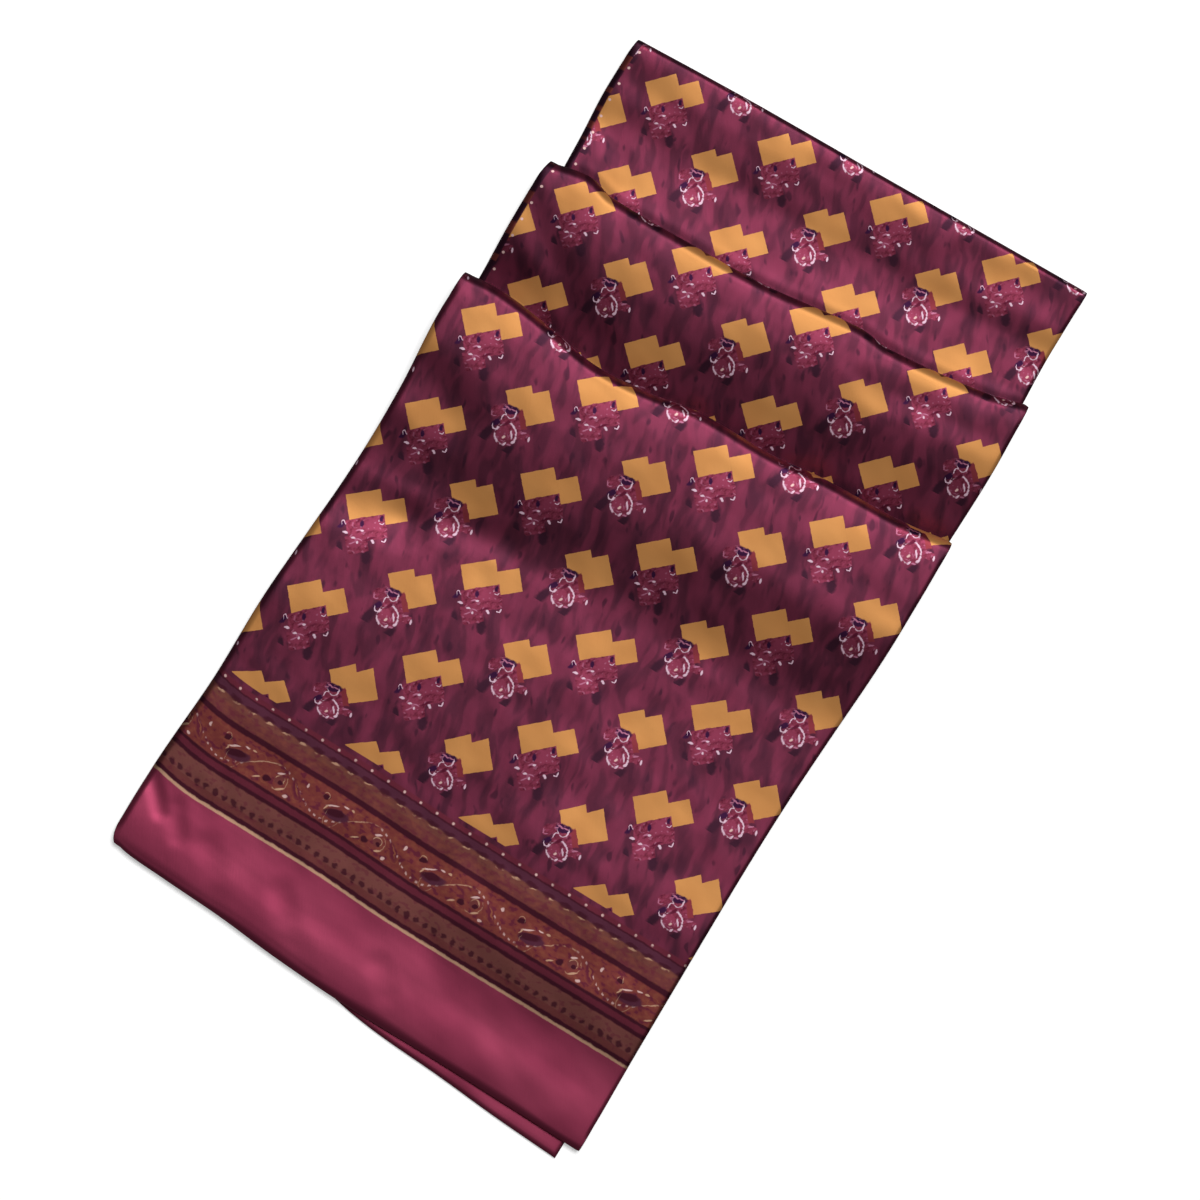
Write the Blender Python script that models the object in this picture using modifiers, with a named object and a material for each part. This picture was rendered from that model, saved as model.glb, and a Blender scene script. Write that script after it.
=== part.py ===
"""A long silk scarf, folded double and laid back and forth in three tiers.

Metres, +Z up. The scarf lies flat on the ground plane. Its length runs along Y,
with the free ends at -Y and the folds at +Y, and its width runs along X.
"Across" is a place along X, "along" a place along Y, and "height" one along Z.
"""

import math
from typing import NamedTuple

import bmesh
import bpy
from mathutils import Vector

MM = 0.001

# ---------------------------------------------------------------- driving sizes

WALL = 1.2 * MM             # thickness of each stretch of cloth
SEAM_GAP = 0.3 * MM         # air between pieces that touch
CLEAR = WALL + SEAM_GAP     # from a stretch's outer face down to what carries it
FLOOR_GAP = 0.4 * MM        # lowest edge of a stretch above the ground

HALF_WIDTH = 130.0 * MM     # half of the doubled scarf's width
LEFT_ROLL = 3.6 * MM        # radius of the soft fold down the left side
RIGHT_ROLL = 2.3 * MM       # radius of the fold down the right side
ROLL_SWEEP = math.radians(120)
CURL_SIDE_SWEEP = math.radians(24)   # side fold where the cloth also turns over an end
END_ROLL = 2.2 * MM         # radius of the rolled free end
SIDE_EASE = 15.0 * MM       # a side fold opens out over this length before an end

FOLD_DEPTH = 5.0 * MM       # how far a fold swells past its run, upper half
FOLD_RETURN = 2.6 * MM      # how far a fold turns back in, lower half
FAR_DEPTH = 3.0 * MM        # the same two for the smaller fold at the far edge
FAR_RETURN = 1.6 * MM
START_INSET = FOLD_RETURN + 0.2 * MM  # the next stretch starts this far inside a fold
STEP_INSET = START_INSET + 0.6 * MM   # the hidden plies step down this far inside it
STEP_LEAN = 0.6 * MM        # the hidden step leans back this far over its height
STEP_SINK = 0.3 * MM        # extra air under the crest of a fold
SLOPE_ROOM = 0.28 * MM      # extra air under the cloth, which its slopes use up

HIDDEN_START = -198.5 * MM  # hidden plies start here, behind the other end
HIDDEN_INSET = 0.9 * MM     # their layers lie this far inside the edge above them
LAYERS = 4                  # layers seen on the sides of the hidden plies
LAYER_STEPS = 3             # points round each of those layers
LAYER_DEPTH = 1.5 * MM      # grooves between the layers
LAYER_WANDER = 0.5 * MM     # how far the layers wander in and out along the scarf
LAYER_WAVE = 86.0 * MM      # length of one wander
THIN_STACK = 1.0 * MM       # below this the hidden plies show no layers at their sides
TUCK_ANGLE = math.radians(30)

UNDER_END_BACK = -199.0 * MM
UNDER_END_HEIGHT = 2.8 * MM
UNDER_END_HALF_WIDTH = 123.6 * MM
UNDER_END_CENTRE = 1.8 * MM
UNDER_END_ROUND = 2.0 * MM

FRONT_ROWS = 27             # rows of facets along the front stretch's run
TIER_ROWS = 8               # the same for the two tiers behind it
LEFT_STEPS = 4
FLAT_STEPS = 16
RIGHT_STEPS = 3
START_STEPS = 4
CURL_STEPS = 7
FIRST_FRONT_ROW = 3         # the front stretch's first row that the hidden plies share

# the other end's rows, as (share from its edge to its back, share of its height)
UNDER_END_ROWS = ((0.0, 0.42), (0.012, 0.76), (0.035, 0.94), (0.07, 1.0), (0.5, 1.0), (1.0, 1.0))


# ---------------------------------------------------------------- short tables

class Edge(NamedTuple):
    """Where a side edge lies at a place along the scarf."""
    along: float
    across: float


class Line(NamedTuple):
    """Where an end or a fold lies at a place across the scarf."""
    across: float
    along: float


class Height(NamedTuple):
    """Height of a stretch at a share of its run, from its near end to its fold."""
    share: float
    height: float


class Crease(NamedTuple):
    """A soft ridge (rise above 0) or trough (below 0) between two places."""
    across_1: float
    along_1: float
    across_2: float
    along_2: float
    width: float
    rise: float


FRONT_LEFT = (
    Edge(-222.5 * MM, -129.0 * MM),
    Edge(-216.0 * MM, -132.8 * MM),
    Edge(-206.0 * MM, -133.8 * MM),
    Edge(-175.0 * MM, -133.5 * MM),
    Edge(-129.0 * MM, -130.9 * MM),
    Edge(-85.0 * MM, -130.8 * MM),
    Edge(-40.0 * MM, -128.3 * MM),
    Edge(-5.0 * MM, -126.5 * MM),
    Edge(30.0 * MM, -126.4 * MM),
    Edge(71.0 * MM, -128.8 * MM),
    Edge(95.0 * MM, -128.2 * MM),
)
FRONT_RIGHT = (
    Edge(-231.0 * MM, 133.0 * MM),
    Edge(-210.0 * MM, 132.9 * MM),
    Edge(-167.0 * MM, 131.8 * MM),
    Edge(-80.0 * MM, 130.8 * MM),
    Edge(-35.0 * MM, 131.3 * MM),
    Edge(32.0 * MM, 133.8 * MM),
    Edge(76.0 * MM, 133.6 * MM),
    Edge(105.0 * MM, 132.8 * MM),
)
MIDDLE_LEFT = (
    Edge(90.0 * MM, -122.4 * MM),
    Edge(129.0 * MM, -123.2 * MM),
    Edge(151.0 * MM, -122.8 * MM),
    Edge(161.0 * MM, -121.2 * MM),
)
MIDDLE_RIGHT = (
    Edge(100.0 * MM, 132.6 * MM),
    Edge(142.0 * MM, 132.3 * MM),
    Edge(178.0 * MM, 130.5 * MM),
)
BACK_LEFT = (
    Edge(160.0 * MM, -115.6 * MM),
    Edge(178.0 * MM, -116.4 * MM),
    Edge(199.0 * MM, -117.7 * MM),
    Edge(221.0 * MM, -117.4 * MM),
    Edge(232.0 * MM, -116.2 * MM),
)
BACK_RIGHT = (
    Edge(175.0 * MM, 128.6 * MM),
    Edge(205.0 * MM, 126.9 * MM),
    Edge(239.0 * MM, 126.4 * MM),
)

FREE_END = (
    Line(-133.5 * MM, -219.0 * MM),
    Line(-124.0 * MM, -222.0 * MM),
    Line(-102.0 * MM, -223.4 * MM),
    Line(-69.0 * MM, -225.0 * MM),
    Line(-39.0 * MM, -227.6 * MM),
    Line(0.0 * MM, -229.6 * MM),
    Line(55.0 * MM, -229.8 * MM),
    Line(133.0 * MM, -231.2 * MM),
)
OTHER_END = (
    Line(-122.0 * MM, -216.5 * MM),
    Line(-60.0 * MM, -220.5 * MM),
    Line(-20.0 * MM, -226.5 * MM),
    Line(5.0 * MM, -231.5 * MM),
    Line(24.0 * MM, -233.8 * MM),
    Line(57.0 * MM, -235.7 * MM),
    Line(90.0 * MM, -238.3 * MM),
    Line(125.5 * MM, -240.2 * MM),
)
FIRST_FOLD = (
    Line(-128.5 * MM, 95.0 * MM),
    Line(-111.0 * MM, 96.6 * MM),
    Line(-85.0 * MM, 94.3 * MM),
    Line(-54.0 * MM, 89.6 * MM),
    Line(-25.0 * MM, 91.8 * MM),
    Line(0.0 * MM, 96.2 * MM),
    Line(39.0 * MM, 97.0 * MM),
    Line(65.0 * MM, 100.0 * MM),
    Line(109.0 * MM, 102.3 * MM),
    Line(133.0 * MM, 106.0 * MM),
)
SECOND_FOLD = (
    Line(-122.0 * MM, 160.2 * MM),
    Line(-102.0 * MM, 164.2 * MM),
    Line(-88.0 * MM, 161.2 * MM),
    Line(-40.0 * MM, 162.0 * MM),
    Line(-5.0 * MM, 163.6 * MM),
    Line(43.0 * MM, 169.6 * MM),
    Line(61.0 * MM, 168.4 * MM),
    Line(109.0 * MM, 174.2 * MM),
    Line(130.5 * MM, 180.0 * MM),
)
FAR_FOLD = (
    Line(-117.0 * MM, 231.8 * MM),
    Line(-59.0 * MM, 234.6 * MM),
    Line(17.0 * MM, 236.8 * MM),
    Line(93.0 * MM, 239.2 * MM),
    Line(127.0 * MM, 240.2 * MM),
)

FRONT_HEIGHTS = (
    Height(0.00, 6.7 * MM),
    Height(0.05, 7.4 * MM),
    Height(0.12, 7.0 * MM),
    Height(0.20, 6.6 * MM),
    Height(0.34, 8.0 * MM),
    Height(0.50, 11.6 * MM),
    Height(0.62, 12.6 * MM),
    Height(0.74, 12.2 * MM),
    Height(0.85, 17.6 * MM),
    Height(0.94, 22.0 * MM),
    Height(1.00, 22.6 * MM),
)
MIDDLE_HEIGHTS = (
    Height(0.00, 10.6 * MM),
    Height(0.30, 11.0 * MM),
    Height(0.70, 13.6 * MM),
    Height(1.00, 15.2 * MM),
)
BACK_HEIGHTS = (
    Height(0.00, 6.0 * MM),
    Height(0.40, 6.4 * MM),
    Height(0.80, 6.0 * MM),
    Height(1.00, 5.2 * MM),
)

FRONT_CREASES = (
    # the long trough behind the hidden pleats, in three leans
    Crease(-108 * MM, 70 * MM, -62 * MM, 14 * MM, 15 * MM, -3.4 * MM),
    Crease(-62 * MM, 14 * MM, 20 * MM, 24 * MM, 17 * MM, -2.6 * MM),
    Crease(20 * MM, 24 * MM, 134 * MM, 30 * MM, 19 * MM, -3.0 * MM),
    # the crest under the first fold
    Crease(-15 * MM, 70 * MM, 120 * MM, 80 * MM, 17 * MM, 1.8 * MM),
    # the broad swell over the middle
    Crease(-80 * MM, -56 * MM, 92 * MM, -40 * MM, 38 * MM, 1.6 * MM),
    # soft hollows towards the right and left edges
    Crease(112 * MM, -120 * MM, 122 * MM, -186 * MM, 22 * MM, -1.3 * MM),
    Crease(-118 * MM, -122 * MM, -112 * MM, -60 * MM, 18 * MM, -1.5 * MM),
    # the free end sinks at its left corner
    Crease(-134 * MM, -221 * MM, -80 * MM, -226 * MM, 15 * MM, -1.7 * MM),
    # small hollows in the plain band
    Crease(-119 * MM, -186 * MM, -110 * MM, -212 * MM, 7 * MM, -0.9 * MM),
    Crease(-60 * MM, -203 * MM, -30 * MM, -207 * MM, 9 * MM, -0.7 * MM),
)
MIDDLE_CREASES = (
    Crease(-117 * MM, 138 * MM, -80 * MM, 108 * MM, 13 * MM, -1.8 * MM),
    Crease(-20 * MM, 122 * MM, 60 * MM, 128 * MM, 14 * MM, -1.2 * MM),
    Crease(-95 * MM, 150 * MM, 110 * MM, 163 * MM, 9 * MM, 0.8 * MM),
)
BACK_CREASES = (
    Crease(-100 * MM, 186 * MM, 30 * MM, 196 * MM, 13 * MM, 0.9 * MM),
    Crease(40 * MM, 214 * MM, 118 * MM, 222 * MM, 12 * MM, -0.8 * MM),
)


# ------------------------------------------------------------------ small maths

def smooth_lookup(rows, place):
    """Value of a two-column table at a place, on a smooth curve through its rows."""
    if place <= rows[0][0]:
        return rows[0][1]
    if place >= rows[-1][0]:
        return rows[-1][1]
    after = next(i for i, row in enumerate(rows) if row[0] > place)
    before = after - 1
    span = rows[after][0] - rows[before][0]
    part = (place - rows[before][0]) / span
    slopes = [table_slope(rows, i) * span for i in (before, after)]
    start, end = rows[before][1], rows[after][1]
    return (
        start * (2 * part ** 3 - 3 * part ** 2 + 1)
        + slopes[0] * (part ** 3 - 2 * part ** 2 + part)
        + end * (3 * part ** 2 - 2 * part ** 3)
        + slopes[1] * (part ** 3 - part ** 2)
    )


def table_slope(rows, i):
    """Slope of a table at one of its rows, taken between the rows beside it."""
    low, high = rows[max(i - 1, 0)], rows[min(i + 1, len(rows) - 1)]
    return (high[1] - low[1]) / (high[0] - low[0])


def ease(part):
    """Go from 0 to 1 with a soft start and a soft end."""
    part = min(max(part, 0.0), 1.0)
    return part * part * (3 - 2 * part)


def crease_rise(creases, across, along):
    """Sum of what the creases add to the height at a place."""
    total = 0.0
    for crease in creases:
        start = Vector((crease.across_1, crease.along_1))
        run = Vector((crease.across_2, crease.along_2)) - start
        offset = Vector((across, along)) - start
        part = min(max(offset.dot(run) / run.length_squared, 0.0), 1.0)
        distance = (offset - run * part).length
        if distance < crease.width:
            total += crease.rise * (1 + math.cos(math.pi * distance / crease.width)) / 2
    return total


# ------------------------------------------------------------ stretches of cloth

class Stretch(NamedTuple):
    """One stretch of cloth that shows, from a near line to the fold at its far line."""
    name: str
    near: tuple
    near_inset: float
    far: tuple
    left: tuple
    right: tuple
    heights: tuple
    creases: tuple
    rolled_start: bool
    fold_depth: float
    fold_return: float
    run_rows: int


FRONT = Stretch(
    "front_stretch", FREE_END, 0.0, FIRST_FOLD, FRONT_LEFT, FRONT_RIGHT,
    FRONT_HEIGHTS, FRONT_CREASES, True, FOLD_DEPTH, FOLD_RETURN, FRONT_ROWS,
)
MIDDLE = Stretch(
    "middle_stretch", FIRST_FOLD, START_INSET, SECOND_FOLD, MIDDLE_LEFT, MIDDLE_RIGHT,
    MIDDLE_HEIGHTS, MIDDLE_CREASES, False, FOLD_DEPTH, FOLD_RETURN, TIER_ROWS,
)
BACK = Stretch(
    "back_stretch", SECOND_FOLD, START_INSET, FAR_FOLD, BACK_LEFT, BACK_RIGHT,
    BACK_HEIGHTS, BACK_CREASES, False, FAR_DEPTH, FAR_RETURN, TIER_ROWS,
)
UNDER_STRETCH = {FRONT: MIDDLE, MIDDLE: BACK, BACK: None}



def top_height(stretch, across, along):
    """Height of a stretch's outer face at a place on its run."""
    near = smooth_lookup(stretch.near, across)
    far = smooth_lookup(stretch.far, across)
    share = (along - near) / (far - near)
    return smooth_lookup(stretch.heights, share) + crease_rise(stretch.creases, across, along)


def run_limits(stretch, across):
    """Where the run of a stretch starts and ends at a place across it."""
    start = smooth_lookup(stretch.near, across) - stretch.near_inset
    if stretch.rolled_start:
        start += END_ROLL
    return start, smooth_lookup(stretch.far, across) - stretch.fold_depth


def landing_height(stretch, across):
    """Height of what the fold of a stretch comes down on."""
    under = UNDER_STRETCH[stretch]
    if under is None:
        return FLOOR_GAP
    return top_height(under, across, smooth_lookup(stretch.far, across)) + SEAM_GAP


def path_rows(stretch):
    """List the rows along a stretch as (kind, share) pairs, from near to far."""
    rows = []
    if stretch.rolled_start:
        rows += [("start", 1 - i / START_STEPS) for i in range(START_STEPS)]
    rows += [("run", i / stretch.run_rows) for i in range(stretch.run_rows)]
    rows += [("curl", i / CURL_STEPS) for i in range(CURL_STEPS + 1)]
    return rows


def path_point(stretch, across, row):
    """Place along and up of one row, the way its face looks, and its side sweep."""
    kind, share = row
    start, end = run_limits(stretch, across)
    if kind == "start":
        angle = ROLL_SWEEP * share
        height = top_height(stretch, across, start)
        point = Vector((start - END_ROLL * math.sin(angle), height - END_ROLL * (1 - math.cos(angle))))
        facing = Vector((-math.sin(angle), math.cos(angle)))
        return point, facing, 0.0
    if kind == "run":
        along = start + share * (end - start)
        fullness = ease((end - along) / SIDE_EASE)
        if stretch.rolled_start:
            fullness *= ease((along - start) / SIDE_EASE)
        return Vector((along, top_height(stretch, across, along))), Vector((0, 1)), fullness
    angle = math.pi * share
    crest = top_height(stretch, across, end)
    half = (crest - landing_height(stretch, across)) / 2
    reach = stretch.fold_depth * math.sin(angle)
    if share > 0.5:
        reach = stretch.fold_depth - stretch.fold_return * (1 - math.sin(angle))
    point = Vector((end + reach, crest - half * (1 - math.cos(angle))))
    return point, Vector((math.sin(angle), math.cos(angle))), 0.0


def side_edge(stretch, side, along):
    """Place across of a side edge, its fold's radius, and where that fold starts."""
    if side == "left":
        edge, radius, inwards = smooth_lookup(stretch.left, along), LEFT_ROLL, 1
    else:
        edge, radius, inwards = smooth_lookup(stretch.right, along), RIGHT_ROLL, -1
    room = top_height(stretch, edge + inwards * radius, along) - FLOOR_GAP
    radius = min(radius, room / (1 - math.cos(ROLL_SWEEP)))
    return edge, radius, edge + inwards * radius


def side_roll(share, radius, fullness):
    """How far a side fold goes outwards and inwards at a share of its sweep."""
    sweep = CURL_SIDE_SWEEP + (ROLL_SWEEP - CURL_SIDE_SWEEP) * fullness
    flat_rest = radius * (1 - math.sin(min(sweep, math.pi / 2)))
    outwards = radius * math.sin(sweep * share) + flat_rest * share
    return outwards, radius * (1 - math.cos(sweep * share))


def stretch_point(stretch, column, row):
    """Outer face of a stretch at one column across it and one row along it."""
    kind, share = column
    left_along = path_point(stretch, -HALF_WIDTH, row)[0].x
    right_along = path_point(stretch, HALF_WIDTH, row)[0].x
    _, left_radius, left = side_edge(stretch, "left", left_along)
    _, right_radius, right = side_edge(stretch, "right", right_along)
    if kind == "flat":
        across = left + share * (right - left)
        point, _, _ = path_point(stretch, across, row)
        return Vector((across, point.x, point.y))
    across, radius, sign = (left, left_radius, -1) if kind == "left" else (right, right_radius, 1)
    point, facing, fullness = path_point(stretch, across, row)
    outwards, inwards = side_roll(share, radius, fullness)
    point = point - facing * inwards
    return Vector((across + sign * outwards, point.x, point.y))


def make_stretch(stretch, collection, material):
    """Model one stretch as an open sheet, thickened inwards to its wall."""
    columns = [("left", 1 - i / LEFT_STEPS) for i in range(LEFT_STEPS)]
    columns += [("flat", i / FLAT_STEPS) for i in range(FLAT_STEPS + 1)]
    columns += [("right", (i + 1) / RIGHT_STEPS) for i in range(RIGHT_STEPS)]
    rows = path_rows(stretch)
    sheet = bmesh.new()
    last_column, last_row = len(columns) - 1, len(rows) - 1
    bmesh.ops.create_grid(sheet, x_segments=last_column, y_segments=last_row, size=0.5)
    for vertex in sheet.verts:
        column = columns[round((vertex.co.x + 0.5) * last_column)]
        row = rows[round((vertex.co.y + 0.5) * last_row)]
        vertex.co = stretch_point(stretch, column, row)
    piece = add_object(stretch.name, sheet, collection, material)
    wall = piece.modifiers.new("wall", "SOLIDIFY")
    wall.thickness = WALL
    wall.offset = -1
    return piece


# --------------------------------------------------------- solids under the cloth

def hidden_rows():
    """List the rows of the hidden plies as (stretch above, kind, share), from near to far."""
    rows = [(FRONT, "back", 0.0)]
    for stretch in (FRONT, MIDDLE, BACK):
        if stretch is not FRONT:
            rows.append((stretch, "foot", 0.0))
        first = FIRST_FRONT_ROW if stretch is FRONT else 0
        rows += [(stretch, "run", i / stretch.run_rows) for i in range(first, stretch.run_rows + 1)]
        rows.append((stretch, "crest", 1.0))
    return rows


def hidden_along(row, across):
    """Place along of a row of the hidden plies."""
    stretch, kind, share = row
    start, end = run_limits(stretch, across)
    far = smooth_lookup(stretch.far, across)
    if kind == "back":
        return HIDDEN_START
    if kind == "foot":
        return smooth_lookup(stretch.near, across) - STEP_INSET
    if kind == "run":
        return start + share * (end - start)
    if stretch is BACK:
        return far - stretch.fold_return - WALL
    return far - STEP_INSET - STEP_LEAN


def layered_side(row, side):
    """Side of the hidden plies as (across, height) pairs, from the ground to the top."""
    stretch, _, _ = row
    sign = -1 if side == "left" else 1
    along = hidden_along(row, sign * HALF_WIDTH)
    edge, radius, centre = side_edge(stretch, side, along)
    top = top_height(stretch, centre, along) - SLOPE_ROOM
    inner = max(radius - CLEAR - SEAM_GAP, SEAM_GAP)
    tuck = centre + sign * inner * math.cos(TUCK_ANGLE)
    tuck_height = top - radius - inner * math.sin(TUCK_ANGLE)
    shoulder = top - radius * (1 - math.cos(ROLL_SWEEP)) - 2 * SEAM_GAP
    shoulder = max(shoulder, tuck_height / 3)
    fullness = ease((shoulder - THIN_STACK) / (2 * THIN_STACK))
    points = []
    for i in range(LAYERS * LAYER_STEPS + 1):
        layer, step = divmod(i, LAYER_STEPS)
        bulge = math.sin(math.pi * step / LAYER_STEPS)
        wander = LAYER_WANDER * math.sin(math.tau * along / LAYER_WAVE * (1 + 0.3 * layer) + 2 * layer)
        out = edge - sign * (HIDDEN_INSET + wander * bulge + LAYER_DEPTH * (1 - bulge))
        points.append((tuck + fullness * (out - tuck), shoulder * i / (LAYERS * LAYER_STEPS)))
    points.append((tuck, tuck_height))
    upper_sine, upper_cosine = math.sin(TUCK_ANGLE), math.cos(TUCK_ANGLE)
    points.append((centre + sign * inner * upper_cosine, top - radius + inner * upper_sine))
    return points


def hidden_ring(row):
    """One closed section through the hidden plies."""
    stretch, kind, _ = row
    _, _, left_end = side_edge(stretch, "left", hidden_along(row, -HALF_WIDTH))
    _, _, right_end = side_edge(stretch, "right", hidden_along(row, HALF_WIDTH))
    sink = CLEAR + SLOPE_ROOM + (STEP_SINK if kind == "crest" else 0.0)
    section = layered_side(row, "left")
    for i in range(FLAT_STEPS + 1):
        across = left_end + (right_end - left_end) * i / FLAT_STEPS
        section.append((across, top_height(stretch, across, hidden_along(row, across)) - sink))
    section += reversed(layered_side(row, "right"))
    section.append((0.0, 0.0))
    return [Vector((x, hidden_along(row, x), z)) for x, z in section]


def make_hidden_layers(collection, material):
    """Model the plies under the visible stretches as one solid on a flat underside."""
    rings = [hidden_ring(row) for row in hidden_rows()]
    return make_loft("hidden_layers", rings, collection, material)


def under_end_ring(share, height):
    """One closed section through the other end, lying flat on the ground."""
    side = ((UNDER_END_ROUND * 0.5, 0.0), (0.0, height * 0.4), (UNDER_END_ROUND * 0.3, height * 0.8))
    section = [(-UNDER_END_HALF_WIDTH + inset, z) for inset, z in side]
    for i in range(FLAT_STEPS + 1):
        reach = UNDER_END_HALF_WIDTH - UNDER_END_ROUND
        section.append((-reach + 2 * reach * i / FLAT_STEPS, height))
    section += [(UNDER_END_HALF_WIDTH - inset, z) for inset, z in reversed(side)]
    section.append((0.0, 0.0))
    ring = []
    for x, z in section:
        across = x + UNDER_END_CENTRE
        end = smooth_lookup(OTHER_END, across)
        ring.append(Vector((across, end + share * (UNDER_END_BACK - end), z)))
    return ring


def make_under_end(collection, material):
    """Model the scarf's other end, with a rounded front edge."""
    rings = [under_end_ring(share, UNDER_END_HEIGHT * part) for share, part in UNDER_END_ROWS]
    return make_loft("under_end", rings, collection, material)


# ---------------------------------------------------------------------- building

def make_loft(name, rings, collection, material):
    """Join closed sections of equal length into one solid and close its two ends."""
    solid = bmesh.new()
    sections = [[solid.verts.new(point) for point in ring] for ring in rings]
    count = len(sections[0])
    for before, after in zip(sections, sections[1:]):
        for i in range(count):
            following = (i + 1) % count
            solid.faces.new((before[i], before[following], after[following], after[i]))
    solid.faces.new(sections[0])
    solid.faces.new(reversed(sections[-1]))
    bmesh.ops.recalc_face_normals(solid, faces=solid.faces)
    return add_object(name, solid, collection, material)


def add_object(name, mesh_in_making, collection, material):
    """Turn a finished bmesh into a named object with its material."""
    mesh = bpy.data.meshes.new(name)
    mesh_in_making.to_mesh(mesh)
    mesh_in_making.free()
    mesh.materials.append(material)
    mesh.shade_smooth()
    piece = bpy.data.objects.new(name, mesh)
    collection.objects.link(piece)
    return piece


def make_material(name, colour, roughness):
    """Make one piece's silk finish."""
    material = bpy.data.materials.new(name)
    material.use_nodes = True
    shader = material.node_tree.nodes["Principled BSDF"]
    shader.inputs["Base Color"].default_value = (*colour, 1.0)
    shader.inputs["Roughness"].default_value = roughness
    shader.inputs["Metallic"].default_value = 0.0
    return material


def main():
    """Clear the scene and build the scarf."""
    for leftover in list(bpy.data.objects):
        bpy.data.objects.remove(leftover, do_unlink=True)
    collection = bpy.data.collections.new("silk_scarf")
    bpy.context.scene.collection.children.link(collection)
    make_stretch(FRONT, collection, make_material("printed_silk_front", (0.17, 0.035, 0.06), 0.38))
    make_stretch(MIDDLE, collection, make_material("printed_silk_middle", (0.13, 0.026, 0.05), 0.40))
    make_stretch(BACK, collection, make_material("printed_silk_back", (0.15, 0.030, 0.055), 0.40))
    make_under_end(collection, make_material("plain_satin_end", (0.27, 0.035, 0.085), 0.32))
    make_hidden_layers(collection, make_material("hidden_silk", (0.10, 0.018, 0.035), 0.45))


main()
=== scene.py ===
"""Looks of a long silk scarf, folded double and laid back and forth in three tiers.

The scarf's length runs along Y, with the free ends at -Y and the folds at +Y, and
its width runs along X. "Across" is a place along X, "along" one along Y and
"height" one along Z. Sizes are in millimetres, and MM turns them into metres.
"""

import logging
import math
from collections.abc import Iterable, Sequence
from dataclasses import dataclass
from enum import Enum
from typing import NamedTuple

import bmesh
import bpy
import numpy as np
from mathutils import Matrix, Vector


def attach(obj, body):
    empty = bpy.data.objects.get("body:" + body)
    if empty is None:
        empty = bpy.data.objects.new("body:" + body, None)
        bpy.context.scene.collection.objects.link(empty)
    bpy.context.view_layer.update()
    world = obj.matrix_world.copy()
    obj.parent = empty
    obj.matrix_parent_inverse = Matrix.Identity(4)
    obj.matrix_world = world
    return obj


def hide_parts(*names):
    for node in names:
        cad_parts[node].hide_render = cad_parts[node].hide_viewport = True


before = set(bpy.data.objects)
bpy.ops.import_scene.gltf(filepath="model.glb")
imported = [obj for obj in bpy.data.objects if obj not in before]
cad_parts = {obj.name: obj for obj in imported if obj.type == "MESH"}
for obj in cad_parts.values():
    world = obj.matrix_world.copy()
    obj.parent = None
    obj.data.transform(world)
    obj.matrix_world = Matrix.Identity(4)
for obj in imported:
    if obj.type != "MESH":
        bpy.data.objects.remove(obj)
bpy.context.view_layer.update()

LOG = logging.getLogger("silk_scarf")
MM = 0.001
BODY = "root"

SHELL = 0.6                 # thickness of one visible layer of cloth
SEAM_GAP = 0.3              # air between pieces that touch
UNDER_ROOM = 0.5            # air between a stretch and the plies under it
FLOOR_GAP = 0.4             # lowest edge of a stretch above the ground

HALF_WIDTH = 130.0          # half of the doubled scarf's width
LEFT_ROLL = 3.6             # radius of the soft fold down the left side
RIGHT_ROLL = 2.3            # radius of the fold down the right side
ROLL_SWEEP = math.radians(120)          # how far round a side fold turns
CURL_SIDE_SWEEP = math.radians(24)      # the same where it has opened out
THIN_EDGE = 0.05            # share of its thickness that a ply keeps at its very edge
SIDE_EASE = 15.0            # a side fold opens out over this length before an end
WELD = 0.0005               # points closer than this are merged

FOLD_DEPTH = 5.0            # how far a fold swells past its run, upper half
FOLD_RETURN = 2.6           # how far a fold turns back in, lower half
FAR_DEPTH = 3.0             # the same two for the smaller fold at the far edge
FAR_RETURN = 1.6
START_INSET = FOLD_RETURN + 0.2

DOTTED_LINE = -128.6        # print place of the border's first dotted line
DOT_PITCH = 9.15            # from one dot of a dotted line to the next
BORDER_FACES = DOTTED_LINE + 1.7    # faces below this take the border's finish
PLAIN_FACES = DOTTED_LINE - 60.0    # and below this, the plain satin

PRINT_UV = "print_map"
MARGIN = "edge_margin"      # distance from a tier's left edge, in millimetres


# ---------------------------------------------------------------- short tables

class Edge(NamedTuple):
    """Where a side edge lies at a place along the scarf."""
    along: float
    across: float


class Line(NamedTuple):
    """Where an end or a fold lies at a place across the scarf."""
    across: float
    along: float


class Height(NamedTuple):
    """Height of a stretch at a share of its run, from its near end to its fold."""
    share: float
    height: float


class Crease(NamedTuple):
    """A soft ridge (rise above 0) or trough (below 0) between two places."""
    across_1: float
    along_1: float
    across_2: float
    along_2: float
    width: float
    rise: float


FRONT_LEFT = (
    Edge(-222.5, -129.0), Edge(-216.0, -132.8), Edge(-206.0, -133.8), Edge(-175.0, -133.5),
    Edge(-129.0, -130.9), Edge(-85.0, -130.8), Edge(-40.0, -128.3), Edge(-5.0, -126.5),
    Edge(30.0, -126.4), Edge(71.0, -128.8), Edge(95.0, -128.2),
)
FRONT_RIGHT = (
    Edge(-231.0, 133.0), Edge(-210.0, 132.9), Edge(-167.0, 131.8), Edge(-80.0, 130.8),
    Edge(-35.0, 131.3), Edge(32.0, 133.8), Edge(76.0, 133.6), Edge(105.0, 132.8),
)
MIDDLE_LEFT = (
    Edge(90.0, -122.4), Edge(129.0, -123.2), Edge(151.0, -122.8), Edge(161.0, -121.2),
)
MIDDLE_RIGHT = (Edge(100.0, 132.6), Edge(142.0, 132.3), Edge(178.0, 130.5))
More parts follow.
